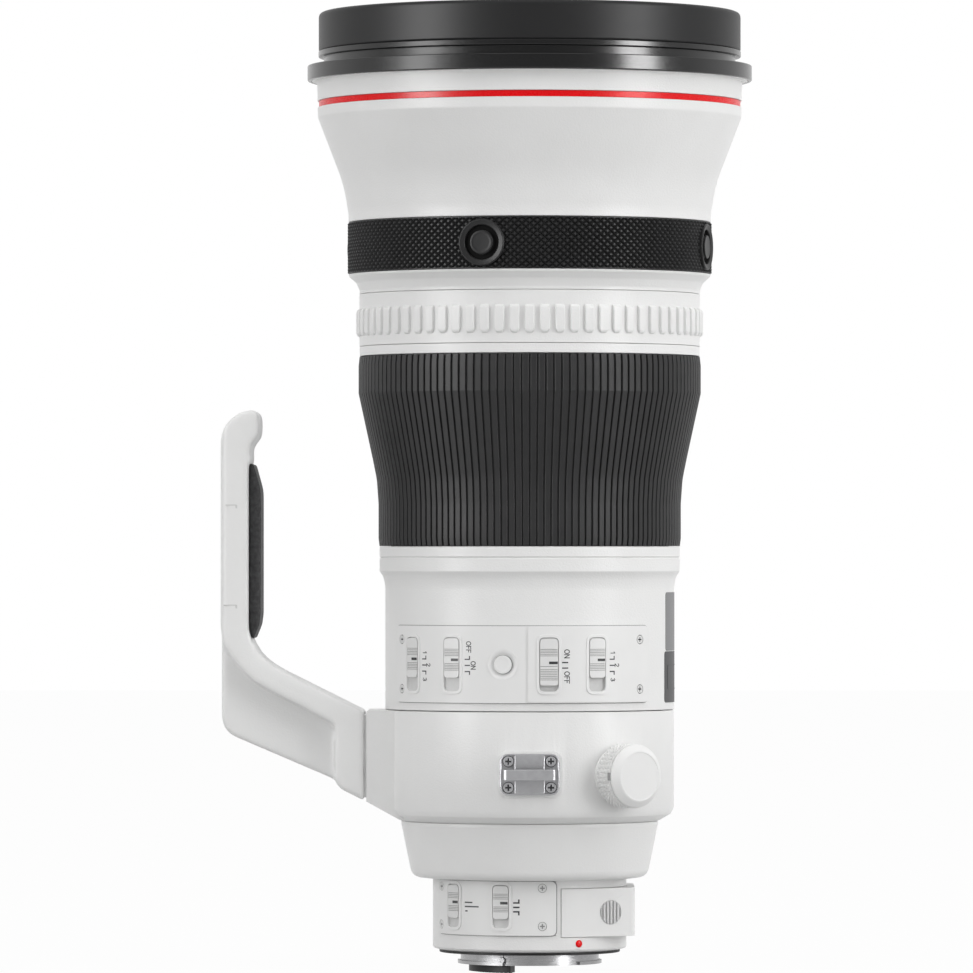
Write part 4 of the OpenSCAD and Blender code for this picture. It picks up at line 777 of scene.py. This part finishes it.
GROOVE = 0.58
UPPER = [1.5 + GROOVE * k for k in range(5)]
LOWER = [-1.4 - GROOVE * k for k in range(5)]
for node, k, at, bar_z in (("speed_switch", 0, MAIN, 107.4), ("preset_switch", 1, MAIN, 107.2),
                           ("mode_switch", 3, RAISED, 107.2)):
    slider(node, SLOTS_MAIN[k], 14.3, at, bar_z, UPPER, LOWER)
slider("stabiliser_switch", SLOTS_MAIN[2], 17.0, RAISED, 106.2, [2.5 + GROOVE * k for k in range(5)],
       [-1.3] + [-2.4 - 0.62 * k for k in range(7)])
for node, slot in zip(("range_switch", "focus_switch"), SLOTS_REAR):
    slider(node, slot, 12.1, REAR, 19.1, UPPER[:4], LOWER[:4])


# Printed marks: ticks beside the switches, plain numbers, ON and OFF, all read from the top down

OVAL = [(0.38 + 0.38 * math.cos(math.pi * k / 8), 0.5 + 0.5 * math.sin(math.pi * k / 8)) for k in range(17)]
GLYPHS = {
    "1": [[(0.12, 0.78), (0.36, 1), (0.36, 0)]],
    "2": [[(0.04, 0.8), (0.14, 0.96), (0.36, 1), (0.56, 0.84), (0.52, 0.6), (0.04, 0), (0.6, 0)]],
    "3": [[(0.05, 0.9), (0.3, 1), (0.54, 0.84), (0.48, 0.6), (0.26, 0.53), (0.54, 0.42), (0.58, 0.18),
           (0.34, 0), (0.03, 0.1)]],
    "O": [OVAL],
    "N": [[(0, 0), (0, 1), (0.62, 0), (0.62, 1)]],
    "F": [[(0, 0), (0, 1), (0.52, 1)], [(0, 0.52), (0.44, 0.52)]],
}
WIDTHS = {"1": 0.62, "2": 0.66, "3": 0.64, "O": 0.8, "N": 0.66, "F": 0.55}
GLYPH_GAP = 0.2


def stroke(points, width, place, at):
    """Printed lines from point to point, in short lengths that follow the curved panel."""
    parts = []
    for start, end in zip(points, points[1:]):
        start, end = Vector(start), Vector(end)
        along = (end - start).normalized() * width / 2
        side = Vector((-along.y, along.x))
        start, end = start - along, end + along
        lengths = math.ceil((end - start).length / 1.2)
        for k in range(lengths):
            p, q = start.lerp(end, k / lengths), start.lerp(end, (k + 1) / lengths)
            outline = [p - side, q - side, q + side, p + side]
            parts.append(loft_data([[place(c.x, c.y, at + d) for c in outline] for d in (-0.05, 0.025)]))
    return parts


def word(text, x, z, height, place, at):
    """Text turned a quarter clockwise, centred on x and z."""
    total = sum(WIDTHS[c] for c in text) + GLYPH_GAP * (len(text) - 1)
    parts, u = [], -total / 2
    for c in text:
        for line in GLYPHS[c]:
            turned = [(x + (v - 0.5) * height, z - (u + s) * height) for s, v in line]
            parts += stroke(turned, 0.29, place, at)
        u += WIDTHS[c] + GLYPH_GAP
    return parts


def ticks(x, z, pitch, place, at, length=1.7, width=0.42):
    """A tick for the middle position and a hooked one for each end position."""
    parts = stroke([(x - length / 2, z), (x + length / 2, z)], width, place, at)
    for side in (-1, 1):
        level = z + side * pitch
        bend = [(x - length / 2, level), (x + length / 2, level), (x + length / 2, level + side)]
        parts += stroke(bend, width, place, at)
    return parts


def main_marks():
    """Numbers beside the first and last switch, ON and OFF beside the two between them."""
    middle = 105.2
    pitch = 2.2
    letter = 1.7
    marks = []
    for azimuth, at in ((-45.4, MAIN), (33.4, RAISED)):
        place = bent_place(at)
        x = arc_x(azimuth, at)
        marks += ticks(x, middle, pitch, place, at)
        for number, right, z in (("1", 0.3, 109.7), ("2", 2.1, middle), ("3", 0.3, 100.0)):
            marks += word(number, x + right, z, letter, place, at)
    place = bent_place(MAIN)
    x = arc_x(-24.8, MAIN)
    marks += ticks(x, middle, pitch, place, MAIN)
    marks += word("OFF", x + 0.5, 111.8, letter, place, MAIN)
    marks += word("ON", x + 2.3, middle, letter, place, MAIN)
    place = bent_place(RAISED)
    x = arc_x(14.6, RAISED)
    for z in (106.3, 104.3):
        marks += stroke([(x - 1.8, z), (x, z)], 0.45, place, RAISED)
    marks += word("ON", x - 0.2, 109.4, 1.8, place, RAISED)
    marks += word("OFF", x - 0.2, 100.9, 1.8, place, RAISED)
    return marks


def rear_marks():
    """Ticks beside the right-hand switch, lines of three lengths beside the left-hand one."""
    place = bent_place(REAR)
    marks = ticks(arc_x(-5.6, REAR) - 1.3, 17.6, 1.6, place, REAR, 1.8, 0.55)
    x = arc_x(-35.5, REAR)
    for left, right, z in ((-2.9, 0.1, 19.1), (-2.9, 2.8, 17.6), (-2.7, -2.1, 16.0)):
        marks += stroke([(x + left, z), (x + right, z)], 0.5, place, REAR)
    return marks


piece("printed_marks", joined(main_marks() + rear_marks()), "barrel", INK_AND_SHADE)


# Bare nameplates on the right side

PLATE_AT = 52.9


def nameplate(name, z0, z1, half, mat, border, replaces=None):
    """A thin bent plate, half of it spanning the given degrees, with or without a raised border."""
    place = bent_place(PLATE_AT)
    mid = arc_x(90, PLATE_AT)
    w = arc_x(half, PLATE_AT)
    bends = strips(mid - w, mid + w)
    outline = rounded([(mid - w, z0, 1.4), (mid + w, z0, 1.4), (mid + w, z1, 1.4), (mid - w, z1, 1.4)])
    parts = [plate_data(outline, [], place, PLATE_AT - 0.5, PLATE_AT + 0.05, bends)]
    if border:
        outer, inner = [box_outline(2 * w - 6 - g, 9 - g, 1.2, mid, (z0 + z1) / 2) for g in (0, 0.6)]
        parts.append(plate_data(outer, [inner], place, PLATE_AT, PLATE_AT + 0.15, bends))
    piece(name, joined(parts), "barrel", mat, replaces=replaces, bevel=0.1)


nameplate("upper_plate", 110.1, 131.4, 20.9, PLATE, False, "nameplates")
nameplate("lower_plate", 91.3, 109.9, 22.1, PLATE_DARK, True)


# Rear barrel, mount barrel, filter holder and the small parts at the mount

lathe("rear_shell", [(43.0, 86.0), (46.05, 86.0), (46.05, 47.9), (46.9, 47.9, 0.35), (46.9, 46.6, 1.0),
                     (42.95, 27.25, 4.2), (35.4, 27.2), (33.0, 27.2), (33.0, 29.4), (38.5, 30.0),
                     (40.2, 33.0), (43.0, 46.0)], "barrel", WHITE, n=256, replaces="rear_barrel")
carried("mount_shell", "mount_barrel", "barrel", WHITE, 0.25)


def filter_cap():
    """The filter holder with rounded edges, but for the pockets in which the squeeze locks slide."""
    holder = carried("filter_cap", "filter_holder", "filter_holder", WHITE_SMOOTH, 0.35)
    low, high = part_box("filter_lock_1")
    lock = (low + high) / 2
    pocket_radius = 5.39
    weights = holder.data.attributes.new("bevel_weight_edge", "FLOAT", "EDGE")
    for edge in holder.data.edges:
        ends = [(holder.data.vertices[i].co - lock) / MM for i in edge.vertices]
        pocket = all(math.hypot(p.x, p.z) < pocket_radius for p in ends)
        weights.data[edge.index].value = 1.0 if edge.use_edge_sharp and not pocket else 0.0
    holder.modifiers["edges"].limit_method = "WEIGHT"


filter_cap()
for number in (1, 2):
    carried(f"lock_button_{number}", f"filter_lock_{number}", f"filter_lock_{number}", LOCK, 0.12)
carried("mount_seal", "mount_gasket", "barrel", RUBBER, 0.2)
carried("bayonet_ring", "bayonet_mount", "barrel", TURNED, 0.15)
carried("contact_body", "contact_block", "barrel", PLASTIC, 0.3)


def contact_pins(count=12, r=20.1):
    """Round-tipped pins on an arc of 60 degrees."""
    profile = [(0.01, -7.05), (0.55, -7.05, 0.2), (0.66, -6.9, 0.15), (0.66, -6.7), (0.01, -6.7)]
    pins = []
    for k in range(count):
        a = math.radians(-78 + 60 * (k + 0.5) / count)
        pins.append(lathe_data(profile, 20, Matrix.Translation((r * math.sin(a), -r * math.cos(a), 0))))
    return joined(pins)


piece("contact_pins", contact_pins(), "barrel", GOLD)
red_dot = lathe_data([(0.01, 35.0), (1.35, 35.0), (1.35, 35.55, 0.2), (0.9, 35.95, 0.4), (0.01, 36.05)], 40,
                     outward(30.2, 4.2))
red_line = lathe_data([(76.3, 308.6), (77.1, 308.6, 0.1), (77.1, 310.8, 0.1), (76.3, 310.8)], RING_SIDES)
piece("red_marks", joined([red_dot, red_line]), "barrel", RED, replaces="red_inlays")
lathe("divider", [(58.6, 218.35), (61.2, 218.35), (61.2, 217.6), (62.2, 217.6, 0.2), (62.2, 220.95, 0.2),
                  (58.6, 220.95)], "barrel", WHITE, n=288)


# Tripod collar, strap lugs, lock knob and foot

carried("collar_shell", "collar", "collar", WHITE, 0.7, angle=50, segments=3, flat=False)
LUG_Z = 66.1


def strap_lug(azimuth):
    """A rimmed plate with a raised land and a bridge for the strap."""
    place = outward(azimuth, LUG_Z)
    outer = box_outline(21.5, 14.8, 3.4, n=8)
    inner = box_outline(20.1, 13.4, 2.8, n=8)
    plate = prism_data(outer, 53.0, 54.2, place)
    rim = plate_data(outer, [inner], flat_place(place), 54.1, 54.8)
    land = prism_data(box_outline(10.9, 13.9, 0.5), 54.2, 55.0, place)
    bridge = rounded([(-9.5, 54.0), (-9.5, 61.3, 1.6), (9.5, 61.3, 1.6), (9.5, 54.0), (7.1, 54.0),
                      (7.1, 59.1, 0.8), (-7.1, 59.1, 0.8), (-7.1, 54.0)])
    ends = [[place @ Vector((p.x, y, p.y)) for p in bridge] for y in (-1.95, 1.95)]
    return [plate, rim, land, loft_data(ends)]


def lug_screws():
    """Heads of the cross screws in both lugs, each turned a little differently, with painted shade in their
    crosses and gaps.
    """
    heads, recesses = [], []
    for azimuth in (0, 180):
        for x in (-7.66, 7.66):
            for z in (-4.7, 4.7):
                turn = Matrix.Rotation(0.35 * x * z, 4, "Z")
                place = outward(azimuth, LUG_Z) @ Matrix.Translation((x, z, 0)) @ turn
                heads.append(cross_screw(place, 1.85, 55.0))
                recesses += screw_recess(place, 1.85, 54.95)
    return heads, recesses


def foot_bolts():
    """Hexagon socket bolts that hold the foot to the collar."""
    parts = []
    for y in (-15.4, 15.4):
        for z in (65.8, 79.4):
            place = outward(-90, z) @ Matrix.Translation((y, 0, 0))
            parts.append(plate_data(circle(2.7, 32), [circle(1.25, 6)], flat_place(place), 68.9, 70.4))
            parts.append(prism_data(circle(2.6, 32), 67.9, 69.0, place))
    return parts


heads, recesses = lug_screws()
piece("lug_screw_shade", joined(recesses), "collar", INK_AND_SHADE)
piece("lug_brackets", joined(strap_lug(0) + strap_lug(180)), "collar", STEEL, replaces="strap_lugs",
      bevel=0.28)
piece("collar_screw_heads", joined(heads + foot_bolts()), "collar", STEEL, replaces="collar_screws",
      bevel=0.08)
KNOB = outward(37.8, 65.4)


def knob():
    """Lock knob with rows of small pyramids round its side and a smooth bevelled end."""
    body = lathe_data([(0.01, 53.2), (10.6, 53.2, 0.3), (10.6, 60.9), (11.6, 61.0, 0.15),
                       (11.6, 61.6, 0.15), (11.0, 61.65), (11.0, 61.9), (11.4, 61.95, 0.1),
                       (11.4, 62.6, 1.2), (9.3, 64.5, 1.0), (8.7, 64.75, 0.25), (8.5, 64.6, 0.25),
                       (0.01, 64.6)], 128, KNOB)
    verts, faces = [], []
    count = 40
    rows = 4
    low, high = 53.6, 60.9
    tall = (high - low) / rows
    for i in range(count):
        for j in range(rows):
            n = len(verts)
            for spread, r in ((0.47, 10.4), (0.13, 11.6)):
                for du, dv in ((-spread, -spread), (spread, -spread), (spread, spread), (-spread, spread)):
                    t = 2 * math.pi * (i + du) / count
                    d = low + (j + 0.5 + dv) * tall
                    verts.append(KNOB @ Vector((r * math.cos(t), r * math.sin(t), d)))
            for k in range(4):
                q = (k + 1) % 4
                faces.append((n + k, n + q, n + 4 + q, n + 4 + k))
            faces.append((n + 4, n + 5, n + 6, n + 7))
    return joined([body, (verts, faces)])


piece("knob_grip", knob(), "lock_knob", WHITE_SMOOTH, replaces="lock_knob", angle=28)
# Painted shade: a grey block where the knob has its notch, and a grey ring at the bottom of the groove
# above the knurl
notch = prism_data(box_outline(0.9, 2.8, 0.15, -11.25, 0), 60.7, 61.9, KNOB)
groove = lathe_data([(10.9, 61.62), (11.15, 61.62), (11.15, 61.9), (10.9, 61.9)], 96, KNOB)
piece("knob_notch_shade", joined([notch, groove]), "lock_knob", PAINTED_SHADE)


def cast(name, node, body, mat, voxel, rounds):
    """A CAD node's shape with edges as soft as a casting's."""
    obj = carried(name, node, body, mat, 0)
    net = obj.modifiers.new("net", "REMESH")
    net.mode = "VOXEL"
    net.voxel_size = voxel * MM
    relax = obj.modifiers.new("relax", "SMOOTH")
    relax.iterations = rounds
    relax.factor = 0.5
    return obj


cast("foot_casting", "foot", "collar", WHITE, 0.65, 26)
pad = cast("grip_pad", "foot_pad", "collar", PAD, 0.5, 20)


def foot_marks():
    """Painted shade: two hooked grey strips, standing for engraved marks, on the side of the foot that
    faces the camera.
    """
    shade_strips = []
    for x0, x1, z in ((-110.6, -106.3, 163.3), (-111.3, -106.3, 126.9)):
        hook = rounded([(x0, z - 0.4), (x1 - 0.8, z - 0.4, 0.2), (x1 - 0.6, z - 1.4), (x1, z - 1.4),
                        (x1, z, 0.5), (x0, z)])
        shade_strips.append(loft_data([[Vector((p.x, y, p.y)) for p in hook] for y in (-20.05, -18.4)]))
    return joined(shade_strips)


def thread_inserts():
    """Threaded bushes for one small and two large tripod screws."""
    mouth = 112.4
    bottom = 105.8
    pitch = 1.05
    inserts = []
    for z, radius in ((168.7, 3.97), (136.7, 3.97), (152.7, 2.55)):
        line = [(radius + 0.9, bottom), (radius + 0.9, mouth, 0.2), (radius + 0.3, mouth, 0.1)]
        for k in range(6):
            d = mouth - 0.3 - k * pitch
            line += [(radius - 0.05, d - 0.35), (radius + 0.35, d - 0.87)]
        inserts.append(lathe_data(line + [(radius, bottom)], 48, outward(-90, z)))
    return joined(inserts)


piece("foot_mark_shade", foot_marks(), "collar", RECESS_SHADE_GREY)
piece("thread_inserts", thread_inserts(), "collar", STEEL, angle=25)


# Camera and light, in metres

def area(name, azimuth, elevation, distance, width, height, power):
    """A rectangular lamp that looks at the middle of the lens."""
    data = bpy.data.lights.new(name, "AREA")
    data.shape = "RECTANGLE"
    data.size, data.size_y = width, height
    data.energy = power
    obj = bpy.data.objects.new(name, data)
    a, e = math.radians(azimuth), math.radians(elevation)
    middle = Vector((0, 0, 0.17))
    away = Vector((math.sin(a) * math.cos(e), -math.cos(a) * math.cos(e), math.sin(e)))
    obj.location = middle + distance * away
    obj.rotation_euler = (-away).to_track_quat("-Z", "Y").to_euler()
    bpy.context.scene.collection.objects.link(obj)
    return obj


area("softbox_left", -58, 4, 1.6, 0.5, 1.7, 9)
area("softbox_right", 58, 14, 1.6, 0.5, 1.2, 8.5)
area("top_front", 10, 62, 1.5, 1.4, 0.9, 5)
fill = area("fill_right", 95, 15, 1.9, 0.9, 1.6, 5)
fill.visible_glossy = False
for side, power in ((-58, 70), (58, 34)):
    shine = area("shine_strip", side, 4, 1.6, 0.5, 1.7, power)
    shine.visible_diffuse = False

camera_data = bpy.data.cameras.new("camera")
camera_data.lens = 299.1
camera_data.sensor_width = 36
camera = bpy.data.objects.new("camera", camera_data)
camera.location = (0, -2.9583, 0.1459)
aim = Vector((-0.0158, 0, 0.1700)) - camera.location
camera.rotation_euler = aim.to_track_quat("-Z", "Y").to_euler()
bpy.context.scene.collection.objects.link(camera)
bpy.context.scene.camera = camera


# White backdrop and pale floor

def largest(tree, *values):
    top = values[0]
    for value in values[1:]:
        node = tree.nodes.new("ShaderNodeMath")
        node.operation = "MAXIMUM"
        tree.links.new(top, node.inputs[0])
        tree.links.new(value, node.inputs[1])
        top = node.outputs[0]
    return top


def studio():
    """White to the camera and through glass; gloss sees a dim room on the side of the switches."""
    world = bpy.data.worlds.new("studio")
    world.use_nodes = True
    tree = world.node_tree
    tree.nodes.clear()
    sky = tree.nodes.new("ShaderNodeBackground")
    sky.inputs["Color"].default_value = (1, 1, 1, 1)
    rays = tree.nodes.new("ShaderNodeLightPath").outputs
    way = tree.nodes.new("ShaderNodeSeparateXYZ")
    tree.links.new(tree.nodes.new("ShaderNodeTexCoord").outputs["Generated"], way.inputs["Vector"])
    around = tree.nodes.new("ShaderNodeMix")
    tree.links.new(rays["Is Glossy Ray"], around.inputs["Factor"])
    tree.links.new(ranged(tree, way.outputs["Z"], -0.1, 1, 0.45, 0.85), around.inputs["A"])
    tree.links.new(ranged(tree, way.outputs["Y"], -0.6, 0.3, 0.3, 1), around.inputs["B"])
    strength = largest(tree, around.outputs["Result"], rays["Is Camera Ray"], rays["Is Transmission Ray"])
    tree.links.new(strength, sky.inputs["Strength"])
    tree.links.new(sky.outputs["Background"], tree.nodes.new("ShaderNodeOutputWorld").inputs["Surface"])
    return world


def floor_material():
    """Nearly white to the camera and in reflections, grey in the light that it gives back."""
    mat = bpy.data.materials.new("pale_floor")
    mat.use_nodes = True
    tree = mat.node_tree
    shader = tree.nodes["Principled BSDF"]
    shader.inputs["Base Color"].default_value = (0.5, 0.5, 0.5, 1)
    shader.inputs["Roughness"].default_value = 0.9
    shader.inputs["Specular IOR Level"].default_value = 0.0
    glow = tree.nodes.new("ShaderNodeEmission")
    rays = tree.nodes.new("ShaderNodeLightPath").outputs
    seen = largest(tree, rays["Is Camera Ray"], rays["Is Glossy Ray"], rays["Is Transmission Ray"])
    mix = tree.nodes.new("ShaderNodeMixShader")
    tree.links.new(ranged(tree, seen, 0, 1, 0, 0.97), mix.inputs["Fac"])
    tree.links.new(shader.outputs["BSDF"], mix.inputs[1])
    tree.links.new(glow.outputs["Emission"], mix.inputs[2])
    tree.links.new(mix.outputs["Shader"], tree.nodes["Material Output"].inputs["Surface"])
    return mat


bpy.context.scene.world = studio()
half = 6
low = cad_box[0][2] - 0.0001
floor_mesh = bpy.data.meshes.new("floor")
corners = [(-half, -half, low), (half, -half, low), (half, half, low), (-half, half, low)]
floor_mesh.from_pydata(corners, [], [(0, 1, 2, 3)])
floor_mesh.materials.append(floor_material())
floor = bpy.data.objects.new("floor", floor_mesh)
bpy.context.scene.collection.objects.link(floor)

bpy.context.scene.view_settings.view_transform = "Standard"
